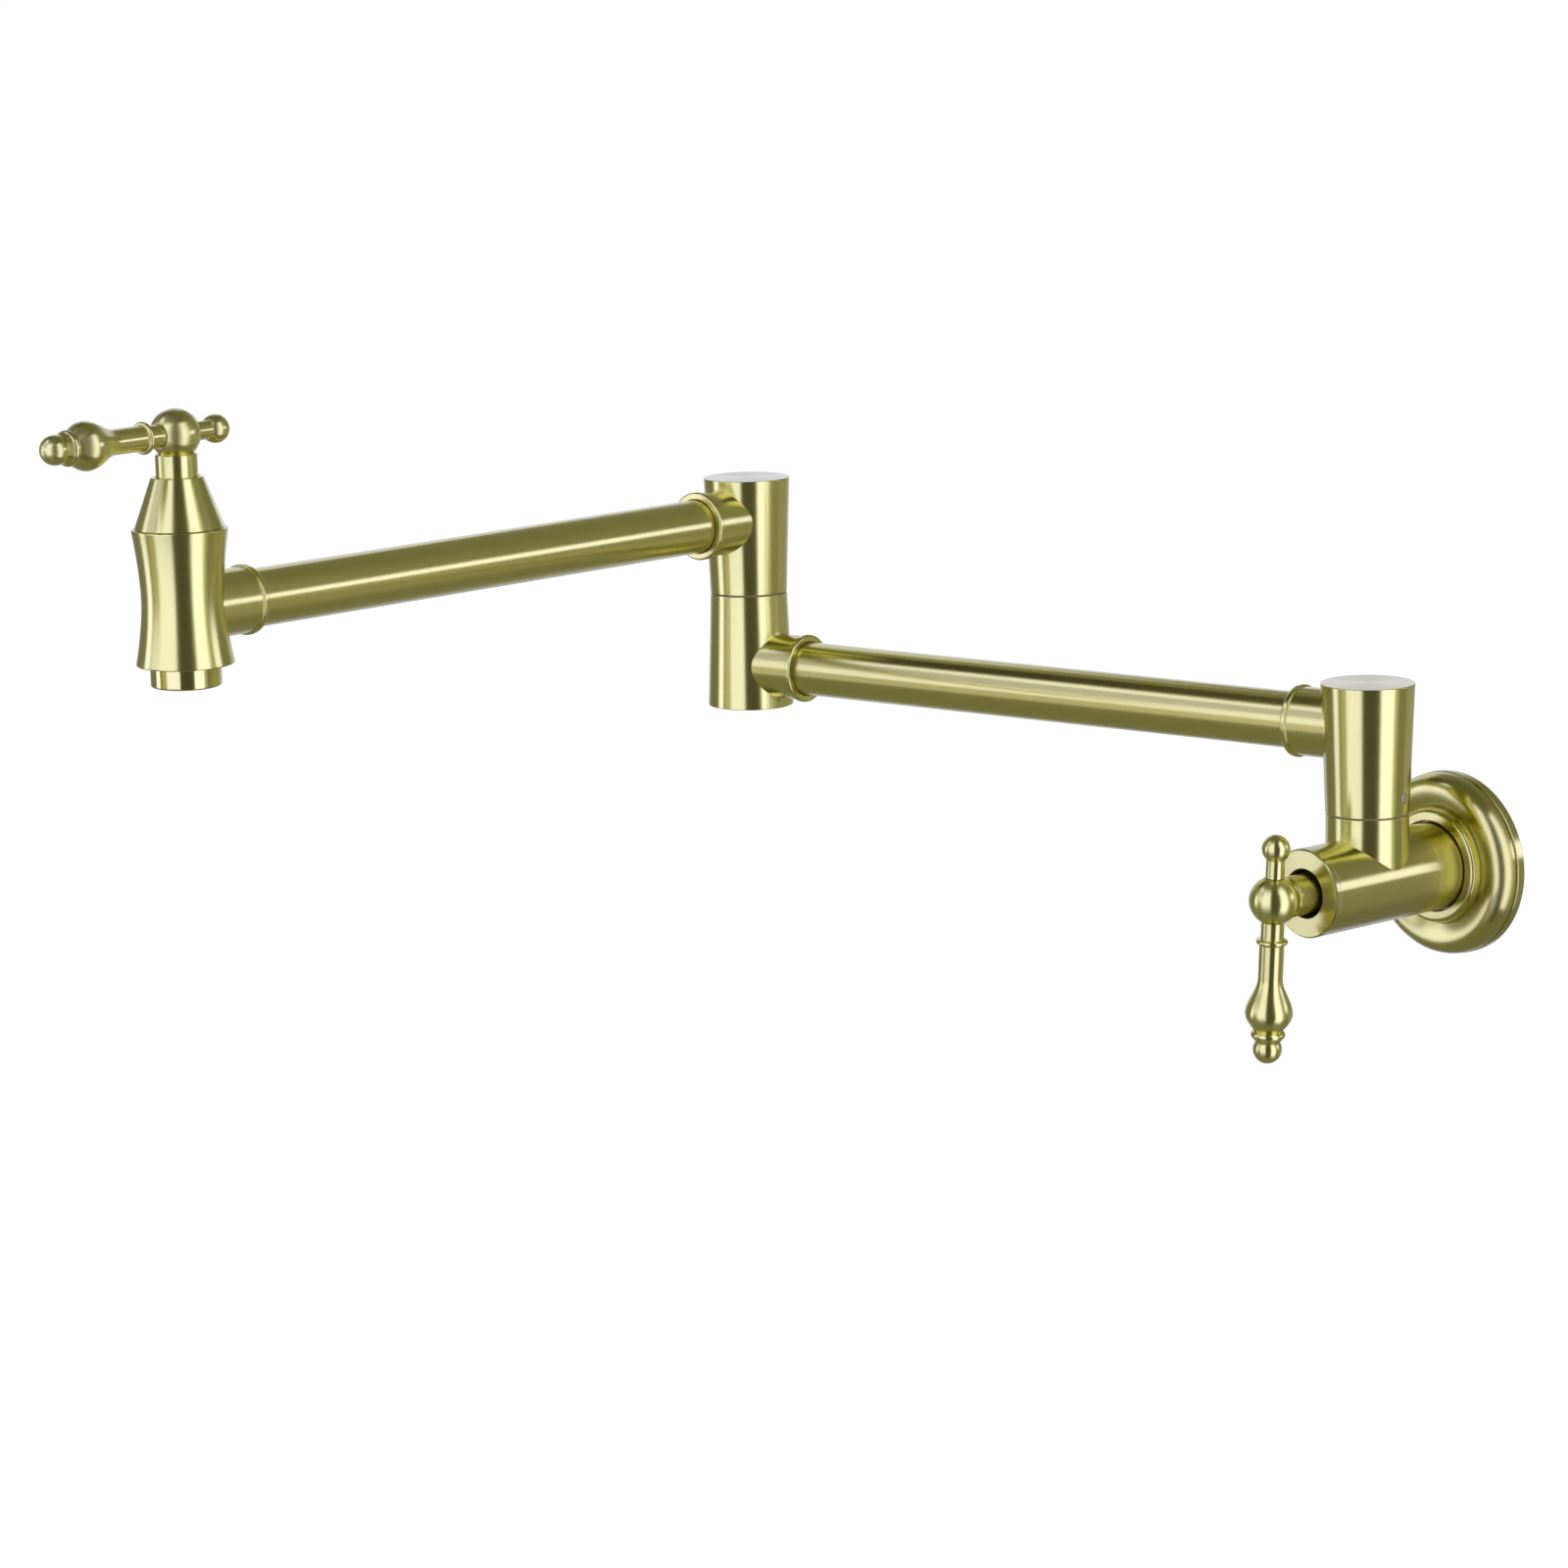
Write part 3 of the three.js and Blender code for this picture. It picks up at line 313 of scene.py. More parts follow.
crest_radius = flank_radius - shoulder_width
crest_height = flank_base + shoulder_depth
flange_face = []
for i in range(shoulder_steps + 1):
    angle = math.radians(90 * i / shoulder_steps)
    outward = max(0.0, math.cos(angle)) ** (2 / shoulder_fullness)
    upward = math.sin(angle) ** (2 / shoulder_fullness)
    flange_face.append((crest_radius + shoulder_width * outward, flank_base + shoulder_depth * upward))
for i in range(1, dish_steps + 1):
    share = i / dish_steps
    sink = dish_depth * (1 - math.cos(share * math.pi / 2))
    flange_face.append((crest_radius + (collar_radius - crest_radius) * share, crest_height - sink))
flange_face[0] = (*flange_face[0], filed_edge)
flange_face[-1] = (*flange_face[-1], dish_foot_round)
flange = turned("wall_flange_finished", [
    (flange_radius, 0, foot_round), (flange_radius, rim_thick, rim_round),
    (flange_radius - groove_depth, rim_thick), (flange_radius - groove_depth, flank_base), *flange_face,
    (collar_radius, collar_height, collar_round), (lip_bore, collar_height, lip_round),
    (lip_bore, lip_back), (collar_bore, lip_back), (collar_bore, land_top),
    (land_bore, land_top, filed_edge), (land_bore, land_base, filed_edge),
    (recess_bore - recess_slope, land_base), (recess_bore, gasket_recess),
    (recess_radius, gasket_recess), (recess_radius, 0, filed_edge),
], sides=192)
fitted(flange, "wall_flange", out_of_wall, [round_out])

# ---------------------------------------------------------------------------- gasket and grip ring
# A flat rubber gasket lies in the back of the flange, and a rubber ring in its bore grips the barrel.
# Both are moulded in black rubber and pushed in by hand.


def moulded(name, color, roughness, speckle):
    """Plain moulded or pressed stuff with a fine speckle in colour, gloss and relief."""
    speckle_relief = 0.2
    speckle_depth = 0.05 * MM
    spread = 0.08
    tones = (0.8, 1.15)

    material = bpy.data.materials.new(name)
    material.use_nodes = True
    nodes = material.node_tree
    specks = clouds(nodes, 1.0 / (speckle * MM), detail=4.0)
    uneven(nodes, specks, roughness=(roughness - spread, roughness + spread), relief=speckle_relief,
           depth=speckle_depth, patches=specks, color=color, tones=tones)
    return material


def arc(centre_radius, centre_height, radius, start, end, steps):
    """Points on an arc of an outline, in degrees from the radius towards the height."""
    angles = [math.radians(start + (end - start) * i / steps) for i in range(steps + 1)]
    return [(centre_radius + radius * math.cos(a), centre_height + radius * math.sin(a)) for a in angles]


rubber = moulded("black_rubber", (0.035, 0.032, 0.022), roughness=0.75, speckle=0.4)

gasket_radius = 30.7
gasket_bore = 24.1
gasket_thick = 1.5
gasket = turned("flange_gasket_finished", [
    (gasket_bore, 0, filed_edge), (gasket_radius, 0, filed_edge),
    (gasket_radius, gasket_thick, filed_edge), (gasket_bore, gasket_thick, filed_edge),
])
fitted(gasket, "flange_gasket", out_of_wall, [rubber])

grip_section = 0.8
grip_height = land_top + grip_gap + grip_section
grip_points = 24
grip_ring = turned("flange_grip_ring_finished", arc(
    land_bore + grip_section, grip_height, grip_section,
    start=0, end=360 - 360 / grip_points, steps=grip_points - 1))
fitted(grip_ring, "flange_grip_ring", out_of_wall, [rubber])

# ---------------------------------------------------------------------------- inlet adaptor
# The adaptor screws on the supply nipple in the wall and carries the valve body on its spigot.
# It is turned from brass bar to the barrel's size, with a fibre washer at each end.


def dressed(material, slot, *nodes):
    """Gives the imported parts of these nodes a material."""
    for node in nodes:
        part = frame["nodes"][node]
        part.data.materials.clear()
        part.data.materials.append(material)


UP = (0, 0, 1)
bare = brushed_brass("bare_brass", UP, (0.62, 0.47, 0.20), roughness=0.36, grain=1.6, coat=0.0)
fibre = moulded("red_fibre", (0.36, 0.12, 0.07), roughness=0.85, speckle=0.8)

stoned_edge = 0.15
eased_edge = 0.3
mouth_edge = 0.5
adaptor_back = 0.5
adaptor_length = 24.0
adaptor_spigot_radius = 9.5
adaptor_spigot_end = 33.0
pipe_socket_radius = 9.6
pipe_socket_floor = 14.5
waterway_radius = 6.3
adaptor = turned("inlet_adaptor_finished", [
    (pipe_socket_radius, adaptor_back, mouth_edge), (barrel_radius, adaptor_back, eased_edge),
    (barrel_radius, adaptor_length, stoned_edge), (adaptor_spigot_radius, adaptor_length),
    (adaptor_spigot_radius, adaptor_spigot_end, eased_edge),
    (waterway_radius, adaptor_spigot_end, filed_edge),
    (waterway_radius, pipe_socket_floor), (pipe_socket_radius, pipe_socket_floor),
])
fitted(adaptor, "inlet_adaptor", out_of_wall, [round_out])
dressed(fibre, "red_fibre", "pipe_washer", "adaptor_washer")

# ---------------------------------------------------------------------------- valve body
# A brass barrel that lies out from the wall, with a riser standing on it that carries the first arm.
# Both are turned; the riser is brazed in and the joint dressed sharp before brushing.


def machined(body, joined=(), cut=()):
    """Joins and cuts a body with other shapes, which are used up."""
    for shapes, operation in ((joined, "UNION"), (cut, "DIFFERENCE")):
        for shape in shapes:
            step = body.modifiers.new(operation, "BOOLEAN")
            step.operation = operation
            step.solver = "EXACT"
            step.object = shape
    whole = body.evaluated_get(bpy.context.evaluated_depsgraph_get())
    mesh = bpy.data.meshes.new_from_object(whole)
    body.modifiers.clear()
    body.data = mesh
    for shape in (*joined, *cut):
        bpy.data.objects.remove(shape)
    return body


def laid(shape, rotation, offset=(0, 0, 0)):
    """Turns a shape's mesh about its origin, then moves it, in millimetres."""
    shape.data.transform(Matrix.Translation(Vector(offset) * MM) @ rotation)
    return shape


BRASS = (0.75, 0.70, 0.155)
round_up = brushed_brass("satin_brass_round_up", UP, BRASS)

along_x = Matrix.Rotation(math.radians(90), 4, "Y")
up_from_barrel = Matrix.Rotation(math.radians(-90), 4, "X")
unturned = Matrix.Identity(4)

joints = {joint["name"]: Vector(joint["pos_m"]) / MM for joint in frame["joints"]}
riser_station = -joints["wall_swivel"].y
joint_1 = joints["wall_swivel"].z
half_joint = 0.3
riser_radius = 14.45
riser_top = joint_1 - half_joint
crisp_edge = 0.1
seam = 0.05
overrun = 1.0
barrel_back = adaptor_length + seam
barrel_front = -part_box("wall_bonnet")[0].y / MM
bonnet_lip = 2.2
body_front = barrel_front - bonnet_lip
bore_start = 20.0
spigot_clearance = 0.3
spigot_socket_radius = adaptor_spigot_radius + spigot_clearance
spigot_socket_floor = 34.7
seat_height = 37.8
chamber_radius = 10.0
chamber_end = 49.4
valve_bore = 10.9
counterbore_radius = 12.5
counterbore_floor = 66.4
thread_bore = 9.95
thread_depth = 9.8

barrel = turned("valve_body_finished", [
    (0, barrel_back), (barrel_radius, barrel_back, stoned_edge),
    (barrel_radius, body_front, crisp_edge), (0, body_front),
])
riser = turned("riser", [
    (0, 0), (riser_radius, 0), (riser_radius, riser_top, filed_edge), (0, riser_top),
], finish=JOINED)
bore = turned("bore", [
    (0, bore_start), (spigot_socket_radius, bore_start), (spigot_socket_radius, spigot_socket_floor),
    (waterway_radius, spigot_socket_floor), (waterway_radius, seat_height), (chamber_radius, seat_height),
    (chamber_radius, chamber_end), (valve_bore, chamber_end), (valve_bore, counterbore_floor),
    (counterbore_radius, counterbore_floor), (counterbore_radius, body_front + overrun),
    (0, body_front + overrun),
], finish=BORED)
well = turned("well", [
    (0, 0), (waterway_radius, 0), (waterway_radius, joint_1 - thread_depth),
    (thread_bore, joint_1 - thread_depth), (thread_bore, joint_1 + overrun), (0, joint_1 + overrun),
], finish=BORED)
for shape in (riser, well):
    laid(shape, up_from_barrel, (0, 0, riser_station))
machined(barrel, joined=[riser], cut=[bore, well])
laid(barrel, unturned, (0, 0, -riser_station))
at_riser = out_of_wall @ Matrix.Translation((0, 0, riser_station * MM))
fitted(barrel, "valve_body", at_riser, [round_out, round_up, bare])

# ---------------------------------------------------------------------------- wall bonnet
# The ring face at the barrel's front screws in over the cartridge and leaves a hole for the stem.
# It is turned brass; its face is brushed in circles and its edges are broken.

bonnet_thread = 12.2
bonnet_thread_edge = 0.4
bonnet_hole = 8.55
bonnet_hole_edge = 0.35
bonnet_chamfer = 0.5
bonnet_gap = 0.3
bonnet_back = counterbore_floor + bonnet_gap
bonnet_seat = body_front + seam
wall_bonnet = turned("wall_bonnet_finished", [
    (bonnet_hole, bonnet_back, eased_edge), (bonnet_thread, bonnet_back, bonnet_thread_edge),
    (bonnet_thread, bonnet_seat), (barrel_radius, bonnet_seat, crisp_edge),
    (barrel_radius, barrel_front - bonnet_chamfer, crisp_edge),
    (barrel_radius - bonnet_chamfer, barrel_front, crisp_edge),
    (bonnet_hole, barrel_front, bonnet_hole_edge),
])
fitted(wall_bonnet, "wall_bonnet", out_of_wall, [round_out])

# ---------------------------------------------------------------------------- cartridges
# Each valve is a quarter-turn cartridge: a brass housing with a spindle and two lapped ceramic discs
# on a rubber seat, held down by a slotted brass nut. None of it shows once the bonnet is on.

ceramic = moulded("white_ceramic", (0.80, 0.79, 0.74), roughness=0.22, speckle=0.3)
for valve in ("wall", "outlet"):
    dressed(bare, "bare_brass", f"{valve}_cartridge", f"{valve}_retaining_nut", f"{valve}_spindle")
    dressed(ceramic, "white_ceramic", f"{valve}_fixed_disc", f"{valve}_moving_disc")
    dressed(rubber, "black_rubber", f"{valve}_seat_seal", f"{valve}_spindle_seal")

# ---------------------------------------------------------------------------- swivels
# Each arm turns on a brass spigot screwed into the part below, sealed by two rubber rings.
# A dark nylon washer lies in the joint and shows as a thin line between the two brass parts.

nylon = moulded("dark_nylon", (0.30, 0.26, 0.12), roughness=0.5, speckle=0.5)
glide_bore = 10.1
glide_radius = 14.1
for swivel in ("wall", "middle"):
    dressed(bare, "bare_brass", f"{swivel}_swivel_spigot")
    dressed(rubber, "black_rubber", f"{swivel}_swivel_seal_low", f"{swivel}_swivel_seal_high")
    washer = turned(f"{swivel}_glide_washer_finished", [
        (glide_bore, -half_joint), (glide_radius, -half_joint, crisp_edge),
        (glide_radius, half_joint, crisp_edge), (glide_bore, half_joint),
    ])
    place = Matrix.Translation(joints[f"{swivel}_swivel"] * MM)
    fitted(washer, f"{swivel}_glide_washer", place, [nylon])

# ---------------------------------------------------------------------------- elbows
# Three cast and turned brass elbows carry the arms: a column that flares towards its free end and a
# side boss with a bead round its mouth. Two turn on spigots; the lower middle one holds a spigot.

elbow_joint_radius = 14.6
elbow_flare = 1.7
elbow_flare_power = 1.1
elbow_flare_steps = 24
elbow_bore = 10.1
elbow_cap = 15.85
tube_radius = 10.0
tube_bore = 8.5
socket_radius = 10.15
socket_depth = 14.3
socket_lead = 0.3
boss_radius = 12.1
boss_reach = 25.6
bead_rise = 0.7
bead_width = 2.4
bead_foot = 0.25
bead_inner_round = 0.6
bead_outer_round = 0.8
boss_mouth = boss_reach + bead_width
spigot_reach = 17.25
spigot_headroom = 0.3
spigot_room_height = spigot_reach + spigot_headroom
screw_rise = 6.3
screw_radius = 1.6
screw_clearance = 0.15
screw_hole_depth = 20.0


def tube_boss(radius):
    """Side boss along local X with a rounded bead round its mouth."""
    boss = turned("boss", [
        (0, 0), (radius, 0), (radius, boss_reach, bead_foot),
        (radius + bead_rise, boss_reach + bead_foot, bead_inner_round),
        (radius + bead_rise, boss_mouth, bead_outer_round), (0, boss_mouth),
    ], finish=JOINED)
    return laid(boss, along_x)


def tube_socket():
    """The water space and the socket that a tube is soldered into, along local X."""
    floor = boss_mouth - socket_depth
    socket = turned("socket", [
        (0, 0), (tube_bore, 0), (tube_bore, floor), (socket_radius, floor),
        (socket_radius, boss_mouth - socket_lead),
        (socket_radius + socket_lead + overrun, boss_mouth + overrun), (0, boss_mouth + overrun),
    ], finish=BORED)
    return laid(socket, along_x)


def drill(radius, start, end, sides, finish=OWN):
    """A plain straight cutter along local Z."""
    return turned("drill", [(0, start), (radius, start), (radius, end), (0, end)], sides, finish)


def elbow_column(name, joint_face):
    """Column that flares from its joint face to its free end."""
    flare = []
    for i in range(elbow_flare_steps + 1):
        share = i / elbow_flare_steps
        radius = elbow_joint_radius + elbow_flare * share ** elbow_flare_power
        flare.append((radius, joint_face + share * (elbow_cap - joint_face)))
    flare[0] = (*flare[0], stoned_edge)
    flare[-1] = (*flare[-1], eased_edge)
    return turned(name, [(0, joint_face), *flare, (0, elbow_cap)])


def turning_elbow(name, tube_rise):
    """Elbow that turns on a spigot; its origin is on the tube's axis."""
    column = elbow_column(name, half_joint - tube_rise)
    spigot_room = turned("spigot_room", [
        (0, -tube_rise - overrun), (elbow_bore, -tube_rise - overrun),
        (elbow_bore, spigot_room_height - tube_rise), (tube_bore, spigot_room_height - tube_rise),
        (tube_bore, tube_bore), (0, tube_bore),
    ], finish=BORED)
    screw_hole = drill(screw_radius + screw_clearance, 0, screw_hole_depth, sides=32, finish=BORED)
    laid(screw_hole, along_x.inverted(), (0, 0, screw_rise - tube_rise))
    return machined(column, joined=[tube_boss(boss_radius)], cut=[spigot_room, tube_socket(), screw_hole])


def carrying_elbow(name, tube_drop):
    """Elbow that holds the upper spigot in a thread at its top; its origin is on the tube's axis."""
    column = laid(elbow_column(name, half_joint - tube_drop), Matrix.Rotation(math.pi, 4, "X"))
    spigot_room = turned("spigot_room", [
        (0, -tube_bore), (tube_bore, -tube_bore), (tube_bore, tube_drop - thread_depth),
        (thread_bore, tube_drop - thread_depth), (thread_bore, tube_drop + overrun),
        (0, tube_drop + overrun),
    ], finish=BORED)
    return machined(column, joined=[tube_boss(boss_radius)], cut=[spigot_room, tube_socket()])


def level(direction):
    """Angle of a direction seen from above."""
    return math.atan2(direction.y, direction.x)


def middle_height(node):
    """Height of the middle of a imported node, in millimetres."""
    low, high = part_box(node)
    return (low.z + high.z) / 2 / MM


def stand(axis, height, way):
    """Place of a part that stands at a swivel axis and points along an arm."""
    return Matrix.Translation((axis.x * MM, axis.y * MM, height * MM)) @ Matrix.Rotation(way, 4, "Z")


wall_axis = joints["wall_swivel"]
middle_axis = joints["middle_swivel"]
head_axis = joints["outlet_lever_turn"]
arm_1_way = level(middle_axis - wall_axis)
arm_2_way = level(head_axis - middle_axis)
arm_1_height = middle_height("arm_1_tube")
arm_2_height = middle_height("arm_2_tube")
arm_1_rise = arm_1_height - wall_axis.z
arm_1_drop = middle_axis.z - arm_1_height
arm_2_rise = arm_2_height - middle_axis.z
arm_1_axis = (math.cos(arm_1_way), math.sin(arm_1_way), 0)
arm_2_axis = (math.cos(arm_2_way), math.sin(arm_2_way), 0)
round_arm_1 = brushed_brass("satin_brass_round_arm_1", arm_1_axis, BRASS)
round_arm_2 = brushed_brass("satin_brass_round_arm_2", arm_2_axis, BRASS, roughness=0.25)
at_wall_elbow = stand(wall_axis, arm_1_height, arm_1_way)
at_lower_elbow = stand(middle_axis, arm_1_height, arm_1_way + math.pi)
at_upper_elbow = stand(middle_axis, arm_2_height, arm_2_way)
wall_elbow = turning_elbow("wall_elbow_finished", arm_1_rise)
fitted(wall_elbow, "wall_elbow", at_wall_elbow, [round_up, round_arm_1, bare])
lower_elbow = carrying_elbow("middle_lower_elbow_finished", arm_1_drop)
fitted(lower_elbow, "middle_lower_elbow", at_lower_elbow, [round_up, round_arm_1, bare])
upper_elbow = turning_elbow("middle_upper_elbow_finished", arm_2_rise)
fitted(upper_elbow, "middle_upper_elbow", at_upper_elbow, [round_up, round_arm_2, bare])

# ---------------------------------------------------------------------------- elbow screws
# A stainless grub screw in each turning elbow runs in a groove of the spigot, so the arm turns but
# can't lift off. It is driven by a hexagon key.

steel = brushed_brass("stainless_steel", UP, (0.92, 0.90, 0.72), roughness=0.4, anisotropy=0.2, coat=0.0)


def grub_screw(name, radius, tip, head):
    """Grub screw along local -X, with a hexagon socket in its outer end."""
    tip_radius = radius * 0.7
    tip_cone = radius * 0.3
    key_radius = radius * 0.62
    key_depth = 1.4
    screw = turned(name, [
        (0, tip), (tip_radius, tip), (radius, tip + tip_cone), (radius, head, filed_edge), (0, head),
    ], sides=48)
    hexagon = drill(key_radius, head - key_depth, head + overrun, sides=6)
    return laid(machined(screw, cut=[hexagon]), along_x.inverted())


elbow_screw_tip = 9.0
elbow_screw_head = 14.45
for elbow, rise, place in (("wall", arm_1_rise, at_wall_elbow), ("middle", arm_2_rise, at_upper_elbow)):
    screw = grub_screw(f"{elbow}_elbow_screw_finished", screw_radius, elbow_screw_tip, elbow_screw_head)
    lowered = place @ Matrix.Translation((0, 0, (screw_rise - rise) * MM))
    fitted(screw, f"{elbow}_elbow_screw", lowered, [steel])

# ---------------------------------------------------------------------------- arm tubes
# The arms are drawn brass tubes, 20 mm across, silver soldered into the bosses at both ends.
# They are brushed round, so a bright line runs along them.

tube_end_gap = 0.3
tube_inset = boss_mouth - socket_depth + tube_end_gap
for arm, ends, place, brass in (
    ("arm_1_tube", (wall_axis, middle_axis), at_wall_elbow, round_arm_1),
    ("arm_2_tube", (middle_axis, head_axis), at_upper_elbow, round_arm_2),
):
    tube_end = (ends[1] - ends[0]).xy.length - tube_inset
    tube = turned(f"{arm}_finished", [
        (tube_bore, tube_inset, filed_edge), (tube_radius, tube_inset, filed_edge),
        (tube_radius, tube_end, filed_edge), (tube_bore, tube_end, filed_edge),
    ])
    fitted(laid(tube, along_x), arm, place, [brass])

# ---------------------------------------------------------------------------- outlet head
# The head holds the outlet valve: a waisted brass body, turned all over, with a boss for the arm,
# a thread for the cone on top and one for the aerator below.

head_low, head_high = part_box("outlet_head")
head_foot = head_low.z / MM - arm_2_height
head_top = head_high.z / MM - arm_2_height
head_seat = -8.4
head_chamber_end = head_seat + chamber_end - seat_height
head_counterbore_depth = 6.3
head_counterbore_floor = head_top - head_counterbore_depth
waist_radius = 13.9
waist_above_seat = 12.0
waist_height = head_seat + waist_above_seat
head_top_radius = 16.3
head_foot_radius = 16.6
head_flare_power = 1.7
head_flare_steps = 20
head_edge = 1.2
head_boss_radius = 11.4
aerator_bore = 11.3
aerator_bore_depth = 7.4
aerator_floor = head_foot + aerator_bore_depth


def flared(radius, end, share):
    """Point on the head's side between the waist and one end."""
    height = waist_height + (end - waist_height) * share
    return (waist_radius + (radius - waist_radius) * share ** head_flare_power, height)


side = [flared(head_foot_radius, head_foot, 1 - i / head_flare_steps) for i in range(head_flare_steps)]
side += [flared(head_top_radius, head_top, i / head_flare_steps) for i in range(head_flare_steps + 1)]
side[0] = (*side[0], head_edge)
side[-1] = (*side[-1], head_edge)
head = turned("outlet_head_finished", [(0, head_foot), *side, (0, head_top)])
valve_room = turned("valve_room", [
    (0, head_foot - overrun), (aerator_bore, head_foot - overrun), (aerator_bore, aerator_floor),
    (waterway_radius, aerator_floor), (waterway_radius, head_seat), (chamber_radius, head_seat),
    (chamber_radius, head_chamber_end), (valve_bore, head_chamber_end),
    (valve_bore, head_counterbore_floor), (counterbore_radius, head_counterbore_floor),
    (counterbore_radius, head_top + overrun), (0, head_top + overrun),
], finish=BORED)
machined(head, joined=[tube_boss(head_boss_radius)], cut=[valve_room, tube_socket()])
at_head = stand(head_axis, arm_2_height, arm_2_way + math.pi)
head_brass = brushed_brass("satin_brass_head", UP, BRASS, roughness=0.24)
fitted(head, "outlet_head", at_head, [head_brass, round_arm_2, bare])

# ---------------------------------------------------------------------------- outlet bonnet
# The bonnet is a cone turned from brass bar and brushed round. It screws down into the head over the
# outlet cartridge, and the handle's stem stands in the hole at its top.

cone_seat = head_top + seam
cone_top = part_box("outlet_bonnet")[1].z / MM - arm_2_height
cone_top_radius = 8.85
cone_base_radius = 15.1
cone_thread_length = 6.0
cone_thread_start = head_top - cone_thread_length
cone_hollow = 8.6
cone_hollow_rise = 4.3
cone_hollow_top = head_top + cone_hollow_rise
stem_hole = 7.35
cone = turned("outlet_bonnet_finished", [
    (cone_hollow, cone_thread_start), (bonnet_thread, cone_thread_start, eased_edge),
    (bonnet_thread, cone_seat), (cone_base_radius, cone_seat, stoned_edge),
    (cone_top_radius, cone_top, eased_edge), (stem_hole, cone_top, stoned_edge),
    (stem_hole, cone_hollow_top), (cone_hollow, cone_hollow_top),
])
fitted(cone, "outlet_bonnet", at_head, [head_brass])

# ---------------------------------------------------------------------------- aerator
# The aerator breaks the stream up: a polished brass ring screwed into the head, with a rubber washer
# above and a moulded plastic flow straightener inside.

polished = brushed_brass("polished_brass", UP, (0.76, 0.70, 0.17), roughness=0.14, grain=0.5, anisotropy=0.4)
aerator_radius = 11.95
aerator_round = 0.8
aerator_thread = 11.0
aerator_wall = 9.4
aerator_lip_bore = 8.2
aerator_lip = 1.2
aerator_gap = 0.3
aerator_washer_room = 1.3
aerator_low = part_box("aerator_housing")[0].z / MM - arm_2_height
aerator_ledge = aerator_low + aerator_lip
aerator_top = head_foot - aerator_gap
thread_top = aerator_floor - aerator_washer_room
aerator = turned("aerator_housing_finished", [
    (aerator_lip_bore, aerator_low, filed_edge), (aerator_radius, aerator_low, aerator_round),
    (aerator_radius, aerator_top, eased_edge), (aerator_thread, aerator_top),
    (aerator_thread, thread_top, filed_edge), (aerator_wall, thread_top),
    (aerator_wall, aerator_ledge), (aerator_lip_bore, aerator_ledge, filed_edge),
])
fitted(aerator, "aerator_housing", at_head, [polished])
dressed(rubber, "black_rubber", "aerator_washer")

plastic = moulded("pale_plastic", (0.72, 0.73, 0.70), roughness=0.5, speckle=0.6)
insert_radius = 9.1
insert_gap = 0.1
insert_length = 7.0
insert_low = aerator_ledge + insert_gap
insert_high = insert_low + insert_length
hole_radius = 0.95

# The number of holes in each circle, and the circle's radius.
hole_circles = ((1, 0.0), (6, 3.0), (12, 5.8))

insert = turned("aerator_insert_finished", [
    (0, insert_low), (insert_radius, insert_low, eased_edge),
    (insert_radius, insert_high, eased_edge), (0, insert_high),
], sides=96)
holes = []
for count, circle in hole_circles:
    for i in range(count):
        way = math.tau * i / count
        hole = drill(hole_radius, insert_low - overrun, insert_high + overrun, sides=20)
        holes.append(laid(hole, unturned, (circle * math.cos(way), circle * math.sin(way), 0)))
machined(insert, cut=holes)
fitted(insert, "aerator_insert", at_head, [plastic])

# ---------------------------------------------------------------------------- handle hubs
# Each handle's hub is a brass ball on a sleeve that fits the spindle and is gripped by a grub screw.
# The lever and the finial screw into its sides, and it is brushed round their common axis.

hub_radius = 8.6
hub_foot = 6.4
hub_bore_top = 5.0
ball_start = 2.0
ball_steps = 40
stem_radius = 7.05
stem_groove_depth = 0.75
stem_groove_edge = 0.25
stem_groove_radius = stem_radius - stem_groove_depth
stem_groove_top = -hub_foot - 0.05
stem_top = -hub_foot - stem_groove_edge
spline_bore = 3.9
stud_start = 3.4
stud_clearance = 0.3
lever_stud = 2.1
lever_neck = 4.0
finial_stud = 1.6
finial_neck = 3.2
grip_screw_drop = 10.4
grip_screw_radius = 1.5
grip_screw_tip = 3.7
grip_screw_head = 6.9
grip_screw_hole_depth = 9.0
wall_stem_foot = 67.4
outlet_stem_foot = 141.65
wall_lean = math.radians(-93.3)
outlet_lean = math.radians(3.3)
sideways = Matrix.Rotation(math.radians(90), 4, "X")
quarter_turn = Matrix.Rotation(math.radians(90), 4, "Z")
half_turn = Matrix.Rotation(math.pi, 4, "Z")

at_wall_handle = (Matrix.Translation(joints["wall_lever_turn"] * MM)
                  @ out_of_wall @ Matrix.Rotation(wall_lean, 4, "Z"))
at_outlet_handle = stand(head_axis, head_axis.z, arm_2_way + outlet_lean)
handle_brushing = {"roughness": 0.26, "grain": 0.3, "anisotropy": 0.75}
round_wall_lever = brushed_brass(
    "satin_brass_wall_lever", at_wall_handle.to_3x3().col[0], BRASS, **handle_brushing)
round_outlet_lever = brushed_brass(
    "satin_brass_outlet_lever", at_outlet_handle.to_3x3().col[0], BRASS, **handle_brushing)
wall_stem_length = -joints["wall_lever_turn"].y - wall_stem_foot
outlet_stem_length = head_axis.z - outlet_stem_foot


def seat_hole(stud, neck):
    """Tapped hole for a stud, with a flat seat for its neck, along local X."""
    stud_hole = stud + stud_clearance
    neck_hole = neck + stud_clearance
    seat = math.sqrt(hub_radius ** 2 - neck_hole ** 2)
    shape = turned("seat_hole", [
        (0, stud_start), (stud_hole, stud_start), (stud_hole, seat), (neck_hole, seat),
        (neck_hole, hub_radius + overrun), (0, hub_radius + overrun),
    ], sides=72, finish=BORED)
    return laid(shape, along_x)


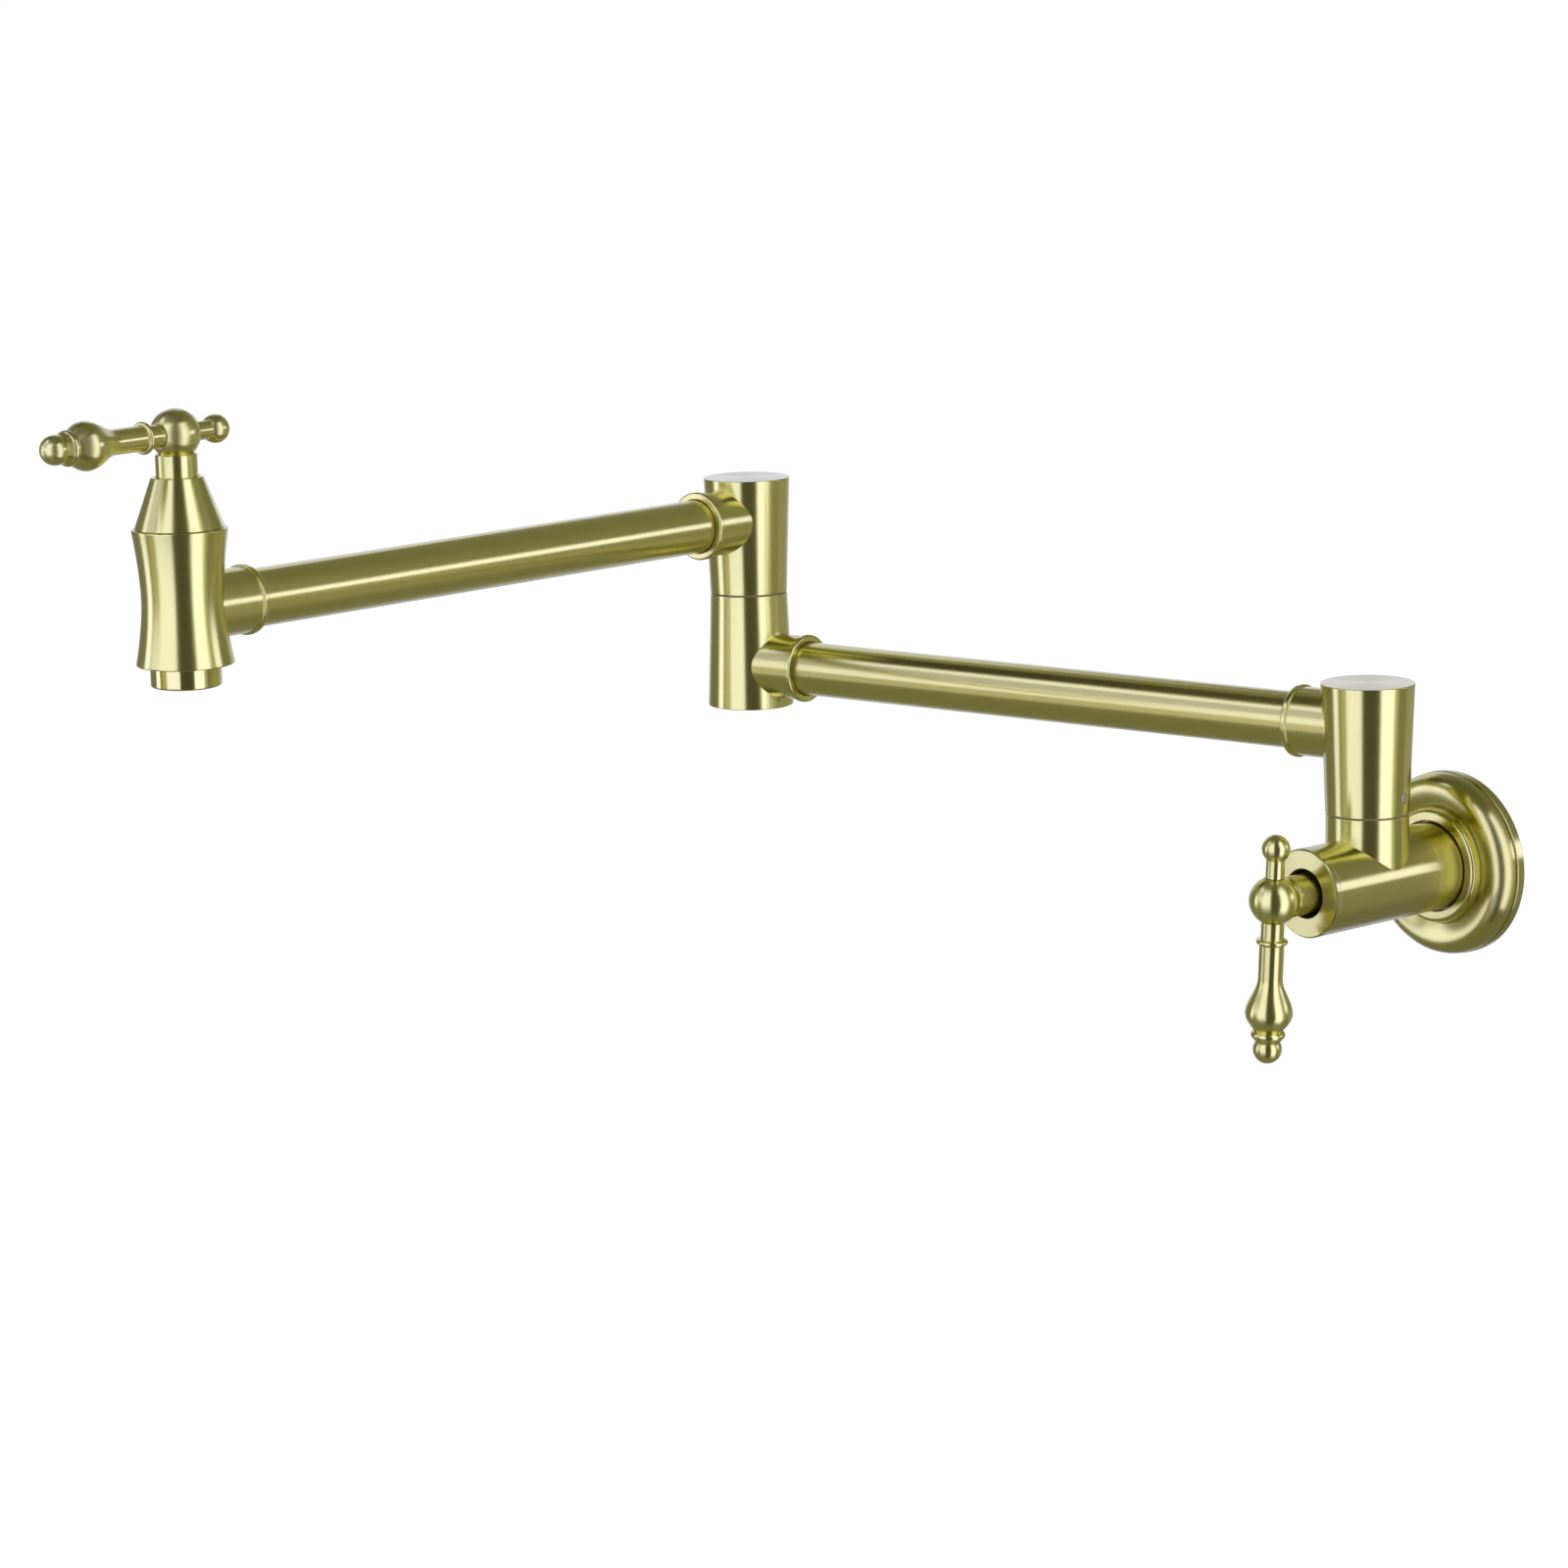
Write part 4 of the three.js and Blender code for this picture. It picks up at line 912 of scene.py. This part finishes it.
for handle, place, stem_length, finishes in (
    ("wall", at_wall_handle, wall_stem_length, [round_out, round_wall_lever, bare]),
    ("outlet", at_outlet_handle, outlet_stem_length, [head_brass, round_outlet_lever, bare]),
):
    foot_angle = math.degrees(math.asin(hub_foot / hub_radius))
    hub = turned(f"{handle}_handle_hub_finished", [
        (spline_bore, -stem_length), (stem_radius, -stem_length, eased_edge),
        (stem_radius, stem_top, stem_groove_edge), (stem_groove_radius, stem_groove_top, crisp_edge),
        *arc(0, 0, hub_radius, start=-foot_angle + ball_start, end=90, steps=ball_steps),
        (0, -hub_bore_top), (spline_bore, -hub_bore_top),
    ])
    for face in hub.data.polygons:
        face.material_index = JOINED if face.center.z > -hub_foot * MM else OWN
    lever_hole = seat_hole(lever_stud, lever_neck)
    finial_hole = laid(seat_hole(finial_stud, finial_neck), half_turn)
    screw_hole = drill(grip_screw_radius + screw_clearance, 0, grip_screw_hole_depth, sides=32, finish=BORED)
    laid(screw_hole, sideways, (0, 0, -grip_screw_drop))
    machined(hub, cut=[lever_hole, finial_hole, screw_hole])
    fitted(hub, f"{handle}_handle_hub", place, finishes)

    screw = grub_screw(f"{handle}_handle_screw_finished", grip_screw_radius, grip_screw_tip, grip_screw_head)
    laid(screw, quarter_turn, (0, 0, -grip_screw_drop))
    fitted(screw, f"{handle}_handle_screw", place, [steel])

# ---------------------------------------------------------------------------- levers and finials
# The levers are turned from brass bar: neck, bead, waisted grip, bulb, ring and end ball.
# A small ball finial balances each on the other side. Both are screwed into the hub on a stud.

# Radii and distances from the middle of the hub.
bead_radius = 5.5
bead_at = 14.5
bead_round = 0.9
grip_radius = 4.3
grip_steps = 20
bulb_radius = 8.25
bulb_at = 40.0
bulb_steps = 12
ring_radius = 6.0
ring_at = 47.6
ring_round = 1.5
end_radius = 5.03
end_at = 52.9
end_pinch = 0.7
finial_radius = 4.9
finial_at = 18.2
stud_gap = 0.3
stud_tip = stud_start + stud_gap
neck_gap = 0.1


def neck_seat(neck):
    """Where a neck meets its seat on the hub, just clear of it."""
    return math.sqrt(hub_radius ** 2 - (neck + stud_clearance) ** 2) + neck_gap


def lever_outline():
    """Outline of a lever out from the centre of the hub."""
    seat = neck_seat(lever_neck)
    grip_start = bead_at + bead_round
    swell_start = (grip_start + bulb_at) / 2
    bulb_foot = ring_at - ring_round
    pinch = end_radius - end_pinch
    outline = [(0, stud_tip), (lever_stud, stud_tip), (lever_stud, seat),
               (lever_neck, seat, filed_edge), (lever_neck, bead_at - bead_round, eased_edge)]
    outline += arc(bead_radius - bead_round, bead_at, bead_round, start=-70, end=70, steps=14)
    outline += [(grip_radius, grip_start, eased_edge)]
    for i in range(grip_steps + 1):
        share = i / grip_steps
        ease = share * share * (3 - 2 * share)
        outline.append((grip_radius + (bulb_radius - grip_radius) * ease,
                        swell_start + (bulb_at - swell_start) * share))
    for i in range(1, bulb_steps + 1):
        share = i / bulb_steps
        shrink = 1 - math.cos(share * math.pi / 2)
        outline.append((bulb_radius + (end_radius - bulb_radius) * shrink,
                        bulb_at + (bulb_foot - bulb_at) * share))
    outline += arc(ring_radius - ring_round, ring_at, ring_round, start=-50, end=60, steps=12)
    pinch_angle = math.degrees(math.acos(pinch / end_radius))
    outline += arc(0, end_at, end_radius, start=-pinch_angle, end=90, steps=24)
    return outline


def finial_outline():
    """Outline of a finial out from the centre of the hub."""
    seat = neck_seat(finial_neck)
    neck_angle = math.degrees(math.acos(finial_neck / finial_radius))
    neck_end = finial_at - math.sqrt(finial_radius ** 2 - finial_neck ** 2)
    return [(0, stud_tip), (finial_stud, stud_tip), (finial_stud, seat),
            (finial_neck, seat, filed_edge), (finial_neck, neck_end, eased_edge),
            *arc(0, finial_at, finial_radius, start=3 - neck_angle, end=90, steps=24)]


for handle, place, brass in (
    ("wall", at_wall_handle, round_wall_lever),
    ("outlet", at_outlet_handle, round_outlet_lever),
):
    lever = laid(turned(f"{handle}_lever_finished", lever_outline()), along_x)
    fitted(lever, f"{handle}_lever", place, [brass])
    finial = laid(turned(f"{handle}_finial_finished", finial_outline()), along_x.inverted())
    fitted(finial, f"{handle}_finial", place, [brass])

# ---------------------------------------------------------------------------- camera
# The camera stands to the right of the tap and a little above it, with a long lens.
# It leans a little over one degree, as the picture does.

view_azimuth = math.radians(50.31)
view_elevation = math.radians(10.94)
view_roll = math.radians(-1.18)
view_target = Vector((-0.13993, -0.1919, 0.03556))
view_distance = 1.5578
view_lens = 102.3
back = Vector((math.sin(view_azimuth) * math.cos(view_elevation),
               -math.cos(view_azimuth) * math.cos(view_elevation), math.sin(view_elevation)))
right = (-back).cross(Vector(UP)).normalized()
up = right.cross(-back)
across = right * math.cos(view_roll) + up * math.sin(view_roll)
upright = up * math.cos(view_roll) - right * math.sin(view_roll)
camera = bpy.data.objects.new("camera", bpy.data.cameras.new("camera"))
bpy.context.scene.collection.objects.link(camera)
camera.data.sensor_width = 36.0
camera.data.lens = view_lens
camera.data.clip_end = 300.0
stance = Matrix((across, upright, back)).transposed().to_4x4()
camera.matrix_world = Matrix.Translation(view_target + back * view_distance) @ stance
bpy.context.scene.camera = camera

# ---------------------------------------------------------------------------- studio
# A white backdrop, two softboxes and a pale floor far below light the tap. White and grey cards
# stand round it as well, which only the brass reflects: they give it its light and dark bands.

bpy.context.scene.view_settings.view_transform = "Standard"

world = bpy.data.worlds.new("backdrop")
bpy.context.scene.world = world
world.use_nodes = True
backdrop = world.node_tree
backdrop_light = 0.5
path = backdrop.nodes.new("ShaderNodeLightPath")
seen = maths(backdrop, "MAXIMUM", path.outputs["Is Camera Ray"],
             maths(backdrop, "MAXIMUM", path.outputs["Is Glossy Ray"], path.outputs["Is Transmission Ray"]))
strength = maths(backdrop, "ADD", maths(backdrop, "MULTIPLY", seen, 1 - backdrop_light), backdrop_light)
background = backdrop.nodes["Background"]
background.inputs["Color"].default_value = (1.0, 1.0, 1.0, 1.0)
backdrop.links.new(strength, background.inputs["Strength"])

studio_centre = Vector((-0.14, -0.20, 0.06))


def studio_way(side, height):
    """Direction from the tap, by degrees to the camera's right and degrees up."""
    flat_back = Vector((math.sin(view_azimuth), -math.cos(view_azimuth), 0))
    flat = flat_back * math.cos(math.radians(side)) + right * math.sin(math.radians(side))
    return flat * math.cos(math.radians(height)) + Vector(UP) * math.sin(math.radians(height))


softbox_distance = 2.2
softbox_width = 1.4
softbox_tall = 1.6
for softbox_name, side, height, radiance in (
    ("softbox_right", 52, 10, 0.9),
    ("softbox_left", -40, 15, 0.7),
):
    lamp = bpy.data.lights.new(softbox_name, "AREA")
    lamp.shape = "RECTANGLE"
    lamp.size = softbox_width
    lamp.size_y = softbox_tall
    lamp.energy = radiance * softbox_width * softbox_tall * math.pi
    softbox = bpy.data.objects.new(softbox_name, lamp)
    bpy.context.scene.collection.objects.link(softbox)
    way = studio_way(side, height)
    facing = way.to_track_quat("Z", "Y").to_matrix().to_4x4()
    softbox.matrix_world = Matrix.Translation(studio_centre + way * softbox_distance) @ facing
    softbox.visible_glossy = False


def glowing_card(name, color, strength):
    """The white or grey of a card, as the brass reflects it."""
    material = bpy.data.materials.new(name)
    material.use_nodes = True
    nodes = material.node_tree
    nodes.nodes.clear()
    glow = nodes.nodes.new("ShaderNodeEmission")
    glow.inputs["Color"].default_value = (*color, 1.0)
    glow.inputs["Strength"].default_value = strength
    nodes.links.new(glow.outputs[0], nodes.nodes.new("ShaderNodeOutputMaterial").inputs[0])
    material.cycles.emission_sampling = "NONE"
    return material


def stage_sheet(name, corners, faces, material):
    """A sheet of the studio, by its corners in metres."""
    mesh = bpy.data.meshes.new(name)
    mesh.from_pydata(corners, [], faces)
    mesh.materials.append(material)
    sheet = bpy.data.objects.new(name, mesh)
    bpy.context.scene.collection.objects.link(sheet)
    return sheet


def card(name, sides, heights, color, strength, distance=2.5):
    """A curved card round the tap, by degrees to the camera's right and degrees up."""
    fold = 4
    steps = math.ceil((sides[1] - sides[0]) / fold)
    rises = math.ceil((heights[1] - heights[0]) / fold)
    corners = []
    for i in range(steps + 1):
        side = sides[0] + (sides[1] - sides[0]) * i / steps
        for j in range(rises + 1):
            height = heights[0] + (heights[1] - heights[0]) * j / rises
            corners.append(studio_centre + studio_way(side, height) * distance)
    faces = []
    for i in range(steps):
        for j in range(rises):
            first = i * (rises + 1) + j
            beside = first + rises + 1
            faces.append((first, beside, beside + 1, first + 1))
    sheet = stage_sheet(name, corners, faces, glowing_card(name, color, strength))
    sheet.visible_camera = False
    sheet.visible_shadow = False
    sheet.visible_diffuse = False


grey = (1.0, 1.0, 1.0)
cool = (1.0, 1.02, 2.5)
bluish = (1.0, 1.03, 1.5)
card("surround", (-180, 180), (-90, 90), grey, 0.21, distance=2.8)
for card_name, sides, heights, color, strength in (
    ("card_front", (-17, 25), (-60, 60), grey, 0.08),
    ("card_left", (-60, -17), (-24, 50), cool, 1.3),
    ("card_left_foot", (-60, -17), (-40, -24), cool, 0.5),
    ("card_left_gap", (-77, -60), (-22, 0), grey, 0.5),
    ("card_left_side", (-82, -60), (0, 20), cool, 1.15),
    ("card_left_strip", (-102, -85), (-19, 20), cool, 1.5),
    ("card_left_high", (-100, -64), (20, 41), cool, 0.6),
    ("card_left_top", (-104, -70), (41, 52), cool, 1.4),
    ("card_left_dark", (-150, -104), (40, 70), grey, 0.04),
    ("card_right", (30, 65), (-45, 55), cool, 1.5),
    ("card_right_edge", (65, 76), (-45, 55), grey, 0.5),
    ("card_right_strip", (80, 101), (1, 14), cool, 1.9),
    ("card_right_back", (102, 150), (-30, -3), grey, 0.36),
    ("card_behind_low", (150, 210), (-40, 0), bluish, 0.55),
    ("card_behind_high", (150, 180), (0, 26), bluish, 0.78),
    ("card_behind_left", (180, 212), (0, 40), bluish, 0.8),
    ("card_above", (-180, 180), (60, 90), grey, 0.14),
):
    card(card_name, sides, heights, color, strength)

floor_tone = 0.8
floor_glow = 0.63
floor_height = -0.9
floor_reach = 120
floor_material = bpy.data.materials.new("pale_floor")
floor_material.use_nodes = True
floor_nodes = floor_material.node_tree
floor_shader = floor_nodes.nodes["Principled BSDF"]
floor_shader.inputs["Base Color"].default_value = (floor_tone, floor_tone, floor_tone, 1.0)
floor_shader.inputs["Roughness"].default_value = 0.9
floor_shader.inputs["Specular IOR Level"].default_value = 0.0
floor_path = floor_nodes.nodes.new("ShaderNodeLightPath")
floor_light = floor_nodes.nodes.new("ShaderNodeEmission")
glow_strength = maths(floor_nodes, "MULTIPLY", floor_path.outputs["Is Camera Ray"], floor_glow)
floor_nodes.links.new(glow_strength, floor_light.inputs["Strength"])
floor_sum = floor_nodes.nodes.new("ShaderNodeAddShader")
floor_nodes.links.new(floor_shader.outputs[0], floor_sum.inputs[0])
floor_nodes.links.new(floor_light.outputs[0], floor_sum.inputs[1])
floor_nodes.links.new(floor_sum.outputs[0], floor_nodes.nodes["Material Output"].inputs[0])
floor_material.cycles.emission_sampling = "NONE"
floor_corners = [(x * floor_reach, y * floor_reach, floor_height)
                 for x, y in ((-1, -1), (1, -1), (1, 1), (-1, 1))]
floor = stage_sheet("floor", floor_corners, [(0, 1, 2, 3)], floor_material)
floor.visible_glossy = False
